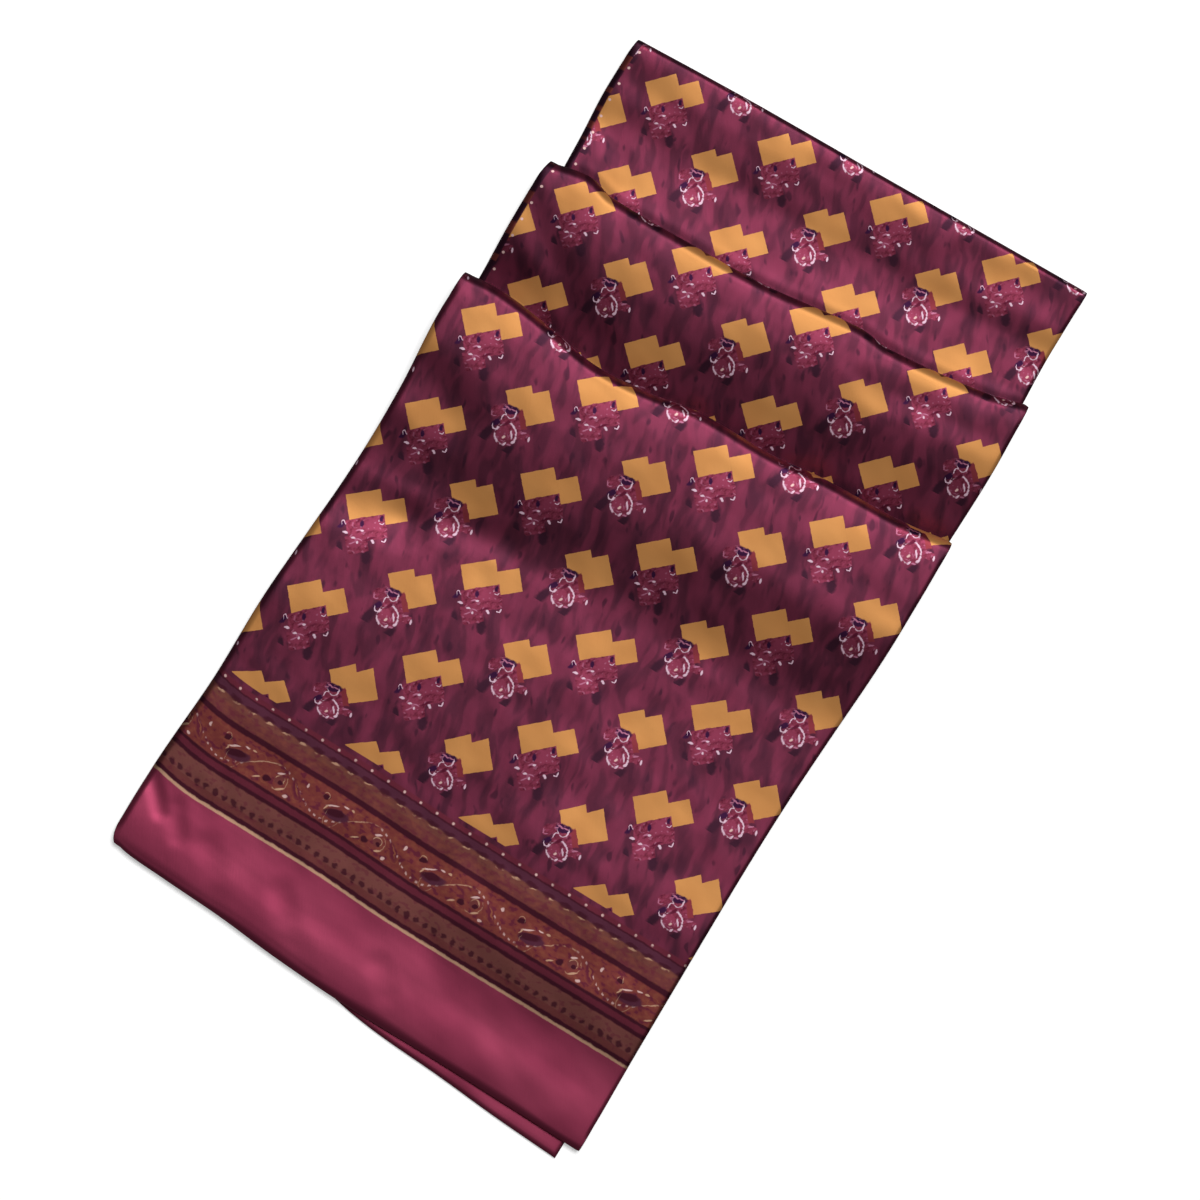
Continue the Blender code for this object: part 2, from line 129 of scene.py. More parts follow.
BACK_LEFT = (
    Edge(160.0, -115.6), Edge(178.0, -116.4), Edge(199.0, -117.7), Edge(221.0, -117.4),
    Edge(232.0, -116.2),
)
BACK_RIGHT = (Edge(175.0, 128.6), Edge(205.0, 126.9), Edge(239.0, 126.4))

FREE_END = (
    Line(-133.5, -219.0), Line(-124.0, -222.0), Line(-102.0, -223.4), Line(-69.0, -225.0),
    Line(-39.0, -227.6), Line(0.0, -229.6), Line(55.0, -229.8), Line(133.0, -231.2),
)
OTHER_END = (
    Line(-122.0, -216.5), Line(-60.0, -220.5), Line(-20.0, -226.5), Line(5.0, -231.5),
    Line(24.0, -233.8), Line(57.0, -235.7), Line(90.0, -238.3), Line(125.5, -240.2),
)
FIRST_FOLD = (
    Line(-128.5, 95.0), Line(-111.0, 96.6), Line(-85.0, 94.3), Line(-54.0, 89.6),
    Line(-25.0, 91.8), Line(0.0, 96.2), Line(39.0, 97.0), Line(65.0, 100.0),
    Line(109.0, 102.3), Line(133.0, 106.0),
)
SECOND_FOLD = (
    Line(-122.0, 160.2), Line(-102.0, 164.2), Line(-88.0, 161.2), Line(-40.0, 162.0),
    Line(-5.0, 163.6), Line(43.0, 169.6), Line(61.0, 168.4), Line(109.0, 174.2),
    Line(130.5, 180.0),
)
FAR_FOLD = (
    Line(-117.0, 231.8), Line(-59.0, 234.6), Line(17.0, 236.8), Line(93.0, 239.2),
    Line(127.0, 240.2),
)

FRONT_HEIGHTS = (
    Height(0.000, 7.3), Height(0.023, 7.7), Height(0.051, 7.8), Height(0.085, 7.4),
    Height(0.131, 7.2), Height(0.198, 8.0), Height(0.324, 9.5), Height(0.423, 10.6),
    Height(0.521, 11.4), Height(0.570, 11.6), Height(0.613, 11.6), Height(0.644, 11.6),
    Height(0.668, 11.7), Height(0.693, 11.9), Height(0.717, 12.8), Height(0.742, 14.4),
    Height(0.767, 16.2), Height(0.791, 17.8), Height(0.816, 19.2), Height(0.840, 20.3),
    Height(0.865, 21.2), Height(0.889, 22.0), Height(0.914, 22.6), Height(0.939, 23.0),
    Height(0.963, 23.2), Height(1.000, 22.8),
)
MIDDLE_HEIGHTS = (
    Height(0.000, 4.4), Height(0.044, 5.5), Height(0.088, 6.5), Height(0.191, 8.6),
    Height(0.309, 11.0), Height(0.426, 13.2), Height(0.544, 15.0), Height(0.662, 16.3),
    Height(0.735, 16.9), Height(0.794, 17.3), Height(0.882, 17.6), Height(1.000, 17.5),
)
BACK_HEIGHTS = (
    Height(0.000, 4.6), Height(0.053, 5.2), Height(0.105, 5.3), Height(0.211, 5.6),
    Height(0.316, 6.0), Height(0.395, 6.4), Height(0.474, 7.1), Height(0.579, 8.7),
    Height(0.684, 10.1), Height(0.789, 11.5), Height(0.895, 12.4), Height(1.000, 12.7),
)

FRONT_CREASES = (
    # the foot of the rise to the first fold sets in earlier towards the left
    Crease(-130, -27, -92, -20, 17, -1.5),
    Crease(-92, -16, -45, -4, 12, -0.7),
    Crease(-130, 44, -98, 36, 22, -1.8),
    # and on the right the rise is short, with a flatter crest
    Crease(30, 44, 132, 50, 20, 0.8),
    # a low swell on the left, and on the right a shelf that falls off past the border
    Crease(-122, -80, -88, -72, 24, 0.6),
    Crease(50, -160, 140, -162, 44, 2.0),
    Crease(50, -118, 140, -120, 38, 1.7),
    Crease(50, -44, 140, -46, 44, -0.9),
    # the free end sinks along its left half
    Crease(-134, -228, -20, -234, 13, -1.2),
    # two short folds and three soft dents in the plain band
    Crease(-135, -181, -119, -197, 6.0, -0.5),
    Crease(-114, -191, -106, -203, 7.0, -0.3),
    Crease(-92, -199, -84, -206, 10.0, -0.3),
    Crease(-51, -200, -43, -208, 10.0, -0.3),
    Crease(6, -206, 16, -214, 10.0, -0.3),
)
MIDDLE_CREASES = (
    Crease(-117, 104, -58, 98, 17, -1.0),
    Crease(-117, 138, -80, 112, 13, -0.9),
    Crease(60, 148, 125, 158, 12, -0.6),
)
BACK_CREASES = (
    Crease(-130, 216, -98, 216, 14, -0.8),
    Crease(70, 224, 134, 230, 14, -0.9),
    Crease(-60, 232, 40, 232, 12, 0.3),
)


# ------------------------------------------------------------------ small maths

def curve_at(rows: Sequence[tuple[float, float]], places: np.ndarray) -> np.ndarray:
    """Read a two-column table on a smooth curve through its rows.

    Args:
        rows: The table, with rising places in its first column.
        places: Where to read it. Outside the table its end values hold.

    Returns:
        The values at those places.
    """
    known, values = np.array(rows, dtype=float).T
    slopes = np.empty_like(values)
    slopes[1:-1] = (values[2:] - values[:-2]) / (known[2:] - known[:-2])
    slopes[0] = (values[1] - values[0]) / (known[1] - known[0])
    slopes[-1] = (values[-1] - values[-2]) / (known[-1] - known[-2])
    after = np.clip(np.searchsorted(known, places, side="right"), 1, len(known) - 1)
    before = after - 1
    span = known[after] - known[before]
    part = np.clip((places - known[before]) / span, 0.0, 1.0)
    square, cube = part ** 2, part ** 3
    return (
        values[before] * (2 * cube - 3 * square + 1)
        + slopes[before] * span * (cube - 2 * square + part)
        + values[after] * (3 * square - 2 * cube)
        + slopes[after] * span * (cube - square)
    )


def ease(part: np.ndarray | float) -> np.ndarray:
    """Go from 0 to 1 with a soft start and a soft end."""
    part = np.clip(part, 0.0, 1.0)
    return part * part * (3 - 2 * part)


class Step(NamedTuple):
    """A soft change by an amount, between one place and another."""
    amount: float
    start: float
    end: float

    def at(self, places: np.ndarray) -> np.ndarray:
        """Read how much of the change has come about at these places."""
        return self.amount * ease((places - self.start) / (self.end - self.start))


class Wave(NamedTuple):
    """A plain wave: its height, the length of one radian of it, and its phase."""
    height: float
    scale: float
    phase: float

    def at(self, places: np.ndarray) -> np.ndarray:
        """Read the wave at these places."""
        return self.height * np.sin(places / self.scale + self.phase)


def crease_rise(creases: Iterable[Crease], across: np.ndarray, along: np.ndarray) -> np.ndarray:
    """Sum what the creases add to the height.

    Args:
        creases: The soft ridges and troughs.
        across: Places across the scarf.
        along: Places along it.

    Returns:
        The rise at each of those places.
    """
    total = np.zeros(np.broadcast(across, along).shape)
    for crease in creases:
        run_x, run_y = crease.across_2 - crease.across_1, crease.along_2 - crease.along_1
        from_x, from_y = across - crease.across_1, along - crease.along_1
        part = np.clip((from_x * run_x + from_y * run_y) / (run_x ** 2 + run_y ** 2), 0.0, 1.0)
        distance = np.hypot(from_x - part * run_x, from_y - part * run_y)
        near = np.minimum(distance / crease.width, 1.0)
        total += crease.rise * (1 + np.cos(math.pi * near)) / 2
    return total


class Swell(NamedTuple):
    """One of the waves that cross in a ripple."""
    pace: float             # how many of it go into the main wave
    across: float           # its direction
    along: float
    seed_share: float       # how much the seed shifts it
    pull: float             # how much the wave before it bends it


SWELLS = (
    Swell(1.0, 0.83, 0.56, 1.0, 0.0),
    Swell(1.27, -0.45, 0.89, 2.1, 1.3),
    Swell(0.61, 0.97, -0.24, 0.7, 0.9),
)
LAST_SWELL = 0.8            # the third wave's height against the other two together


def ripple(across: np.ndarray, along: np.ndarray, wave: float, seed: float) -> np.ndarray:
    """Slow uneven undulation between -1 and 1, from a few crossing waves.

    Args:
        across: Places across the scarf.
        along: Places along it.
        wave: Length of the main wave.
        seed: Shifts the pattern, so that pieces differ.

    Returns:
        The undulation at each place.
    """
    turn, rises, rise = math.tau / wave, [], 0.0
    for swell in SWELLS:
        phase = turn * swell.pace * (swell.across * across + swell.along * along)
        rise = np.sin(phase + swell.seed_share * seed + swell.pull * rise)
        rises.append(rise)
    first, second, third = rises
    return (first * second + LAST_SWELL * third) / (1 + LAST_SWELL)


# ------------------------------------------------------------------ mesh helpers

def add_object(name: str, mesh_in_making: bmesh.types.BMesh) -> bpy.types.Object:
    """Turn a finished bmesh, in millimetres, into a smooth object in metres.

    Args:
        name: The piece's name.
        mesh_in_making: Its bmesh, which is freed.

    Returns:
        The new object, linked to the scene.
    """
    bmesh.ops.scale(mesh_in_making, vec=Vector((MM, MM, MM)), verts=mesh_in_making.verts)
    mesh = bpy.data.meshes.new(name)
    mesh_in_making.to_mesh(mesh)
    mesh_in_making.free()
    mesh.shade_smooth()
    piece = bpy.data.objects.new(name, mesh)
    bpy.context.scene.collection.objects.link(piece)
    return piece


def shape_grid(points: np.ndarray, prints: np.ndarray, margins: np.ndarray) -> bmesh.types.BMesh:
    """Lay a grid of faces over rows and columns of points.

    Args:
        points: Places, as rows by columns by three.
        prints: Print coordinates, as rows by columns by two.
        margins: Distance from the side edge, as rows by columns.

    Returns:
        The open grid, with its print map and its margin attribute.
    """
    last_row, last_column = points.shape[0] - 1, points.shape[1] - 1
    sheet = bmesh.new()
    print_map = sheet.loops.layers.uv.new(PRINT_UV)
    margin = sheet.verts.layers.float.new(MARGIN)
    bmesh.ops.create_grid(sheet, x_segments=last_column, y_segments=last_row, size=0.5)
    places = {}
    for vertex in sheet.verts:
        column = round((vertex.co.x + 0.5) * last_column)
        row = round((vertex.co.y + 0.5) * last_row)
        vertex.co = points[row, column]
        vertex[margin] = margins[row, column]
        places[vertex] = prints[row, column] * MM
    for face in sheet.faces:
        for loop in face.loops:
            loop[print_map].uv = places[loop.vert]
    return sheet


def close_tube(sheet: bmesh.types.BMesh) -> None:
    """Merge the seam of a grid that is wrapped into a tube, and close its two ends.

    Args:
        sheet: The wrapped grid.
    """
    bmesh.ops.remove_doubles(sheet, verts=sheet.verts, dist=WELD)
    rims = [edge for edge in sheet.edges if edge.is_boundary]
    bmesh.ops.holes_fill(sheet, edges=rims, sides=0)
    bmesh.ops.recalc_face_normals(sheet, faces=sheet.faces)


# ------------------------------------------------------------ stretches of cloth

class RowKind(Enum):
    """Which part of a stretch's path a row of the grid belongs to."""
    START = "start"
    RUN = "run"
    CURL = "curl"


class Row(NamedTuple):
    """One row of a stretch's grid, at a share of its part of the path."""
    kind: RowKind
    share: float


class Part(Enum):
    """Which part of a stretch's width a column of the grid belongs to."""
    LEFT = "left"
    FLAT = "flat"
    RIGHT = "right"


class Column(NamedTuple):
    """One column of a stretch's grid, at a share of its part of the width."""
    part: Part
    share: float


class PathPlaces(NamedTuple):
    """A row of the path: its places, the way its face looks, and how far it has run."""
    along: np.ndarray
    height: np.ndarray
    facing_along: np.ndarray | float
    facing_up: np.ndarray | float
    fullness: np.ndarray
    travel: np.ndarray


@dataclass(frozen=True)
class PrintPlacement:
    """How the print lies on one stretch: a turn, two scales and a pair of matching points."""
    turn: float = 0.0
    scale_across: float = 1.0
    scale_along: float = 1.0
    cloth_point: tuple[float, float] = (0.0, 0.0)
    print_point: tuple[float, float] = (0.0, 0.0)

    def place(self, across: np.ndarray, along: np.ndarray) -> np.ndarray:
        """Turn places on the cloth into print coordinates.

        Args:
            across: Arc length across the cloth.
            along: Arc length along the cloth.

        Returns:
            The print coordinates, with the pair in the last axis.
        """
        x, y = across - self.cloth_point[0], along - self.cloth_point[1]
        angle = math.radians(self.turn)
        turned_x = x * math.cos(angle) + y * math.sin(angle)
        turned_y = -x * math.sin(angle) + y * math.cos(angle)
        printed_x = self.print_point[0] + turned_x / self.scale_across
        printed_y = self.print_point[1] + turned_y / self.scale_along
        return np.stack((printed_x, printed_y), axis=-1)


@dataclass(frozen=True)
class FreeEnd:
    """How the free end curves down, and how its print has slid from the even repeat."""
    reach: float = 4.8                          # how far back it starts to curve down
    corner_reach: float = 2.6                   # the same at its left corner
    corner: Step = Step(1.0, -126.0, -46.0)     # from the corner inwards, across
    waves: tuple[Wave, ...] = (Wave(0.6, 11.0, 0.0), Wave(0.5, 29.0, 1.0))
    drop: float = 3.1                           # half the height that it curves through
    slide: float = -0.7                         # how far the print has slid aside
    slides: tuple[Step, ...] = (Step(3.0, 10.0, -45.0), Step(1.5, -95.0, -115.0))
    bow: float = 1.5                            # how far the border bows up on the left half
    more_bow: Step = Step(0.7, -128.0, -178.0)
    left_half: Step = Step(1.0, 8.0, -52.0)
    corner_bow: float = 3.0                     # and how much more at the left edge
    corner_start: float = -104.0
    corner_width: float = 26.0
    corner_power: float = 2.2
    border: Step = Step(1.0, -100.0, -120.0)    # where the field gives way to the border
    crowd: Step = Step(2.0, -74.0, -98.0)       # the last row of motifs crowds up to it
    crowd_end: Step = Step(1.0, -112.0, -126.0)

    def curve_reach(self, across: np.ndarray) -> np.ndarray:
        """Find how far back the end starts to curve down, at places across it."""
        wavy = self.reach + sum(wave.at(across) for wave in self.waves)
        return self.corner_reach + (wavy - self.corner_reach) * self.corner.at(across)

    def print_drift(self, along: np.ndarray) -> np.ndarray:
        """Find how far the print has slid aside below the trough, at places along."""
        return self.slide + sum(step.at(along) for step in self.slides)

    def border_lift(self, across: np.ndarray, along: np.ndarray) -> np.ndarray:
        """Find how far the printed border bows up on the left half and at the left edge.

        Args:
            across: Places across the scarf.
            along: Places along it.

        Returns:
            How much further the print has run there.
        """
        bow = (self.bow + self.more_bow.at(along)) * self.left_half.at(across)
        from_corner = np.clip((self.corner_start - across) / self.corner_width, 0.0, 1.0)
        corner = self.corner_bow * from_corner ** self.corner_power
        crowd = self.crowd.at(along) * (1.0 - self.crowd_end.at(along))
        return crowd - (bow + corner) * self.border.at(along)


@dataclass(frozen=True)
class Stretch:
    """One stretch of cloth that shows, from a near line to the fold at its far line."""
    name: str
    near: tuple[Line, ...]
    near_inset: float
    far: tuple[Line, ...]
    left: tuple[Edge, ...]
    right: tuple[Edge, ...]
    heights: tuple[Height, ...]
    creases: tuple[Crease, ...]
    fold_depth: float
    fold_return: float
    run_rows: int
    flat_columns: int
    placement: PrintPlacement
    seed: float
    free_end: FreeEnd | None = None
    has_margin: bool = True
    side_columns: int = 9
    start_rows: int = 10
    curl_rows: int = 16
    ripple_height: float = 0.22
    ripple_wave: float = 47.0

    def top_height(self, across: np.ndarray, along: np.ndarray) -> np.ndarray:
        """Find the height of the outer face, with its creases and slow ripples.

        Args:
            across: Places across the scarf.
            along: Places along it.

        Returns:
            The height at each of those places.
        """
        near, far = curve_at(self.near, across), curve_at(self.far, across)
        share = (along - near) / (far - near)
        height = curve_at(self.heights, share) + crease_rise(self.creases, across, along)
        return height + self.ripple_height * ripple(across, along, self.ripple_wave, self.seed)

    def run_limits(self, across: np.ndarray) -> tuple[np.ndarray, np.ndarray]:
        """Find where the run starts and ends at places across it.

        Args:
            across: Places across the scarf.

        Returns:
            The run's two ends, as places along the scarf.
        """
        start = curve_at(self.near, across) - self.near_inset
        if self.free_end:
            start = start + self.free_end.curve_reach(across)
        return start, curve_at(self.far, across) - self.fold_depth

    def landing_height(self, across: np.ndarray) -> np.ndarray:
        """Find the height of what the fold comes down on.

        Args:
            across: Places across the scarf.

        Returns:
            The height of the ground or of the stretch below.
        """
        under = UNDER_STRETCH.get(self.name)
        if under is None:
            return np.full_like(across, FLOOR_GAP)
        return under.top_height(across, curve_at(self.far, across)) + SEAM_GAP

    def rows(self) -> list[Row]:
        """List the rows of the grid, from near to far.

        Returns:
            The rows, each with its part of the path and its share of that.
        """
        rows = []
        if self.free_end:
            rows += [Row(RowKind.START, 1 - i / self.start_rows) for i in range(self.start_rows)]
        rows += [Row(RowKind.RUN, i / self.run_rows) for i in range(self.run_rows)]
        rows += [Row(RowKind.CURL, i / self.curl_rows) for i in range(self.curl_rows + 1)]
        return rows

    def path(self, across: np.ndarray, row: Row) -> PathPlaces:
        """Follow the outer face along the scarf.

        Args:
            across: Places across the stretch.
            row: The row of the grid.

        Returns:
            Where the face lies there, which way it looks and how far the print has run.
        """
        start, end = self.run_limits(across)
        if row.kind is RowKind.START:
            angle = ROLL_SWEEP * row.share
            reach, drop = self.free_end.curve_reach(across), self.free_end.drop
            height = self.top_height(across, start) - drop * (1 - math.cos(angle))
            along = start - reach * math.sin(angle)
            travel = start - angle * (reach + drop) / 2
            outwards, upwards = -math.sin(angle) / reach, math.cos(angle) / drop
            size = np.hypot(outwards, upwards)
            return PathPlaces(along, height, outwards / size, upwards / size, 0 * across, travel)
        if row.kind is RowKind.RUN:
            along = start + row.share * (end - start)
            fullness = ease((end - along) / SIDE_EASE)
            if self.free_end:
                fullness = fullness * ease((along - start) / SIDE_EASE)
            return PathPlaces(along, self.top_height(across, along), 0.0, 1.0, fullness, along)
        angle = math.pi * row.share
        crest = self.top_height(across, end)
        half = (crest - self.landing_height(across)) / 2
        reach = self.fold_depth * math.sin(angle)
        if row.share > 0.5:
            reach = self.fold_depth - self.fold_return * (1 - math.sin(angle))
        height = crest - half * (1 - math.cos(angle))
        travel = end + angle * (half + self.fold_depth) / 2
        facing = (math.sin(angle), math.cos(angle))
        return PathPlaces(end + reach, height, *facing, np.zeros_like(across), travel)

    def side(self, part: Part, along: np.ndarray) -> tuple[np.ndarray, np.ndarray, np.ndarray]:
        """Find a side fold.

        Args:
            part: The left or the right part.
            along: Places along the scarf.

        Returns:
            The edge's place across, the fold's radius, and where the fold starts.
        """
        rows, radius, inwards = (
            (self.left, LEFT_ROLL, 1) if part is Part.LEFT else (self.right, RIGHT_ROLL, -1)
        )
        edge = curve_at(rows, along)
        room = self.top_height(edge + inwards * radius, along) - FLOOR_GAP
        radius = np.minimum(radius, room / (1 - math.cos(ROLL_SWEEP)))
        return edge, radius, edge + inwards * radius

    def columns(self) -> list[Column]:
        """List the columns of the grid, from left to right.

        Returns:
            The columns, each with its part of the width and its share of that.
        """
        count, flat = self.side_columns, self.flat_columns
        columns = [Column(Part.LEFT, 1 - i / count) for i in range(count)]
        columns += [Column(Part.FLAT, i / flat) for i in range(flat + 1)]
        return columns + [Column(Part.RIGHT, (i + 1) / count) for i in range(count)]

    def grid_row(self, row: Row) -> tuple[np.ndarray, np.ndarray, np.ndarray]:
        """Work out one row of the grid.

        Args:
            row: Which row it is.

        Returns:
            Its points, its print coordinates and its distances from the left edge.
        """
        left_along = self.path(np.array([-HALF_WIDTH]), row).along
        right_along = self.path(np.array([HALF_WIDTH]), row).along
        left_edge, left_radius, left = (value[0] for value in self.side(Part.LEFT, left_along))
        _, right_radius, right = (value[0] for value in self.side(Part.RIGHT, right_along))
        columns = self.columns()
        shares = np.array([column.share for column in columns])
        on_left, on_right = (
            np.array([column.part is part for column in columns]) for part in (Part.LEFT, Part.RIGHT)
        )
        across = np.where(on_left, left, np.where(on_right, right, left + shares * (right - left)))
        sign = np.where(on_left, -1.0, np.where(on_right, 1.0, 0.0))
        radius = np.where(on_left, left_radius, right_radius)
        path = self.path(across, row)
        sweep = CURL_SIDE_SWEEP + (ROLL_SWEEP - CURL_SIDE_SWEEP) * path.fullness
        flat_rest = radius * (1 - np.sin(np.minimum(sweep, math.pi / 2)))
        turned = sweep * np.where(sign == 0.0, 0.0, shares)
        outwards = sign * (radius * np.sin(turned) + flat_rest * shares)
        inwards = np.where(sign == 0.0, 0.0, radius * (1 - np.cos(turned)))
        points = np.stack((
            across + outwards,
            path.along - path.facing_along * inwards,
            path.height - path.facing_up * inwards,
        ), axis=-1)
        run_across = across + sign * (radius * turned + flat_rest * shares)
        drift, lift = 0.0, 0.0
        if self.free_end:
            drift = self.free_end.print_drift(path.along)
            lift = self.free_end.border_lift(run_across, path.along)
        prints = self.placement.place(run_across + drift, path.travel + lift)
        margins = run_across - left_edge if self.has_margin else np.full_like(across, HALF_WIDTH)
        return points, prints, margins

    def build(self) -> bpy.types.Object:
        """Model the stretch as a thin wall, thickened inwards from its outer face.

        Returns:
            The piece, in the scene.
        """
        rows = [self.grid_row(row) for row in self.rows()]
        points, prints, margins = (np.array(part) for part in zip(*rows))
        piece = add_object(f"{self.name}_silk", shape_grid(points, prints, margins))
        wall = piece.modifiers.new("wall", "SOLIDIFY")
        wall.thickness = SHELL * MM
        wall.offset = -1
        wall.use_rim = True
        return piece


FRONT = Stretch(
    name="front_stretch", near=FREE_END, near_inset=0.0, far=FIRST_FOLD,
    left=FRONT_LEFT, right=FRONT_RIGHT, heights=FRONT_HEIGHTS, creases=FRONT_CREASES,
    fold_depth=FOLD_DEPTH, fold_return=FOLD_RETURN, run_rows=230, flat_columns=170,
    placement=PrintPlacement(), seed=0.4, free_end=FreeEnd(), has_margin=False, ripple_height=0.13,
)
MIDDLE = Stretch(
    name="middle_stretch", near=FIRST_FOLD, near_inset=START_INSET, far=SECOND_FOLD,
    left=MIDDLE_LEFT, right=MIDDLE_RIGHT, heights=MIDDLE_HEIGHTS, creases=MIDDLE_CREASES,
    fold_depth=FOLD_DEPTH, fold_return=FOLD_RETURN, run_rows=56, flat_columns=160, seed=2.2,
    placement=PrintPlacement(4.2, 0.977, 0.955, (-37.1, 157.4), (-43.0, 131.9)),
)
BACK = Stretch(
    name="back_stretch", near=SECOND_FOLD, near_inset=START_INSET, far=FAR_FOLD,
    left=BACK_LEFT, right=BACK_RIGHT, heights=BACK_HEIGHTS, creases=BACK_CREASES,
    fold_depth=FAR_DEPTH, fold_return=FAR_RETURN, run_rows=60, flat_columns=160, seed=4.1,
    placement=PrintPlacement(3.4, 0.942, 0.93, (-30.0, 222.3), (-43.0, 182.9)),
)
UNDER_STRETCH = {FRONT.name: MIDDLE, MIDDLE.name: BACK}


# --------------------------------------------------------- plies under the cloth

class Pack(Enum):
    """Which visible stretch a hidden ply belongs under."""
    BACK = 0
    MIDDLE = 1
    FRONT = 2


class Ply(NamedTuple):
    """One hidden ply: its pack, its turned ends, its place in the pack and its inset."""
    pack: Pack
    start: float
    end: float
    low: float
    high: float
    inset: float


PLIES = (
    Ply(Pack.BACK, -198.5, 229.0, 0.0, 1.0, 1.1),
    Ply(Pack.MIDDLE, 2.0, 157.0, 0.0, 0.5, 2.3),
    Ply(Pack.MIDDLE, -6.0, 158.0, 0.5, 1.0, 1.4),
    Ply(Pack.FRONT, -62.0, 88.0, 0.0, 0.5, 2.6),
    Ply(Pack.FRONT, -54.0, 89.0, 0.5, 1.0, 1.6),
)


@dataclass(frozen=True)
class HiddenPlies:
    """The flat folded plies between the ground and the stretches that show."""
    name: str = "hidden_plies"
    half_columns: int = 30
    row_count: int = 150
    edge_round: float = 2.4
    end_round: float = 4.0
    ply_gap: float = 0.25
    wander: float = 0.6
    roll_clear: float = 0.5
    edge_zone: float = 9.0
    loose_start: float = -75.0
    loose_end: float = -5.0
    edge_slack: float = 0.8         # how far inside the roll a ply has come down
    least_room: float = 0.3         # least height that a pack keeps
    least_ply: float = 0.1          # least thickness of a ply
    phase_step: float = 3.0         # shifts the wander of the plies in one pack
    left_wave: float = 19.0         # lengths of the wander at the two sides
    right_wave: float = 23.0
    even_share: float = 0.4         # how evenly the rows are spread, against close at the ends

    def ceilings(self, across: np.ndarray, along: np.ndarray) -> list[np.ndarray]:
        """Find how high each pack may reach.

        Args:
            across: Places across the scarf.
            along: Places along it.

        Returns:
            The ceilings under the back, the middle and the front stretch.
        """
        room = SHELL + SEAM_GAP + UNDER_ROOM
        tops = [stretch.top_height(across, along) for stretch in (BACK, MIDDLE, FRONT)]
        rolls = []
        for stretch, top in zip((BACK, MIDDLE, FRONT), tops):
            radius = np.where(across < 0, LEFT_ROLL, RIGHT_ROLL)
            under_roll = top - radius * (1 - math.cos(ROLL_SWEEP)) - self.roll_clear
            edge = np.where(across < 0, -curve_at(stretch.left, along), curve_at(stretch.right, along))
            zone = self.edge_zone - radius - self.edge_slack
            nearness = ease((np.abs(across) - edge + self.edge_zone) / zone)
            under_roll = np.maximum(under_roll, self.least_room)
            rolls.append((top - room) * (1 - nearness) + under_roll * nearness)
        back, middle, front = rolls
        middle = np.minimum(middle, front)
        back = np.minimum(back, middle)
        loose = 1 - ease((along - self.loose_start) / (self.loose_end - self.loose_start))
        return [back + (front - back) * loose, np.maximum(middle, back), front]

    def ply_row(self, ply: Ply, along: float) -> np.ndarray:
        """Work out one closed section through a ply.

        Args:
            ply: The ply.
            along: The section's place along the scarf.

        Returns:
            The section's points, once round, with its first point repeated.
        """
        side = {Pack.BACK: BACK, Pack.MIDDLE: MIDDLE, Pack.FRONT: FRONT}[ply.pack]
        here = np.array([along])
        phase = ply.inset + self.phase_step * ply.low
        left_wander = self.wander * math.sin(along / self.left_wave + phase)
        right_wander = self.wander * math.sin(along / self.right_wave + 2 * phase)
        left = curve_at(side.left, here)[0] + ply.inset + left_wander
        right = curve_at(side.right, here)[0] - ply.inset - right_wander
        shares = np.arange(self.half_columns + 1) / self.half_columns
        shares = (1 - np.cos(math.pi * shares)) / 2
        across = left + (right - left) * shares
        place = np.full_like(across, along)
        levels = self.ceilings(across, place)
        ceiling = levels[ply.pack.value]
        floor = np.zeros_like(across) if ply.pack is Pack.BACK else levels[ply.pack.value - 1]
        ceiling = np.maximum(ceiling, floor + self.least_room)
        low = floor + (ceiling - floor) * ply.low + self.ply_gap / 2
        high = floor + (ceiling - floor) * ply.high - self.ply_gap / 2
        from_end = min(along - ply.start, ply.end - along) / self.end_round
        from_side = np.minimum(across - left, right - across) / self.edge_round
        fullness = np.sqrt(1 - (1 - np.clip(from_side, 0, 1)) ** 2)
        fullness *= max(math.sqrt(1 - (1 - min(from_end, 1.0)) ** 2), THIN_EDGE)
        middle, half = (low + high) / 2, np.maximum(high - low, self.least_ply) / 2
        top = np.stack((across, place, middle + half * fullness), axis=-1)
        bottom = np.stack((across, place, middle - half * fullness), axis=-1)
        return np.concatenate((top, bottom[::-1][1:-1], top[:1]))

    def build(self) -> bpy.types.Object:
        """Model all the hidden plies as one piece of closed flat tubes.

        Returns:
            The piece, in the scene.
        """
        whole = bmesh.new()
        even = np.arange(self.row_count + 1) / self.row_count
        close = (1 - np.cos(math.pi * even)) / 2
        shares = (1 - self.even_share) * close + self.even_share * even
        for ply in PLIES:
            rows = [self.ply_row(ply, ply.start + share * (ply.end - ply.start)) for share in shares]
            points = np.array(rows)
            margins = np.full(points.shape[:2], HALF_WIDTH)
            tube = shape_grid(points, points[..., :2], margins)
            close_tube(tube)
            part = bpy.data.meshes.new("ply")
            tube.to_mesh(part)
            tube.free()
            whole.from_mesh(part)
            bpy.data.meshes.remove(part)
        return add_object(self.name, whole)


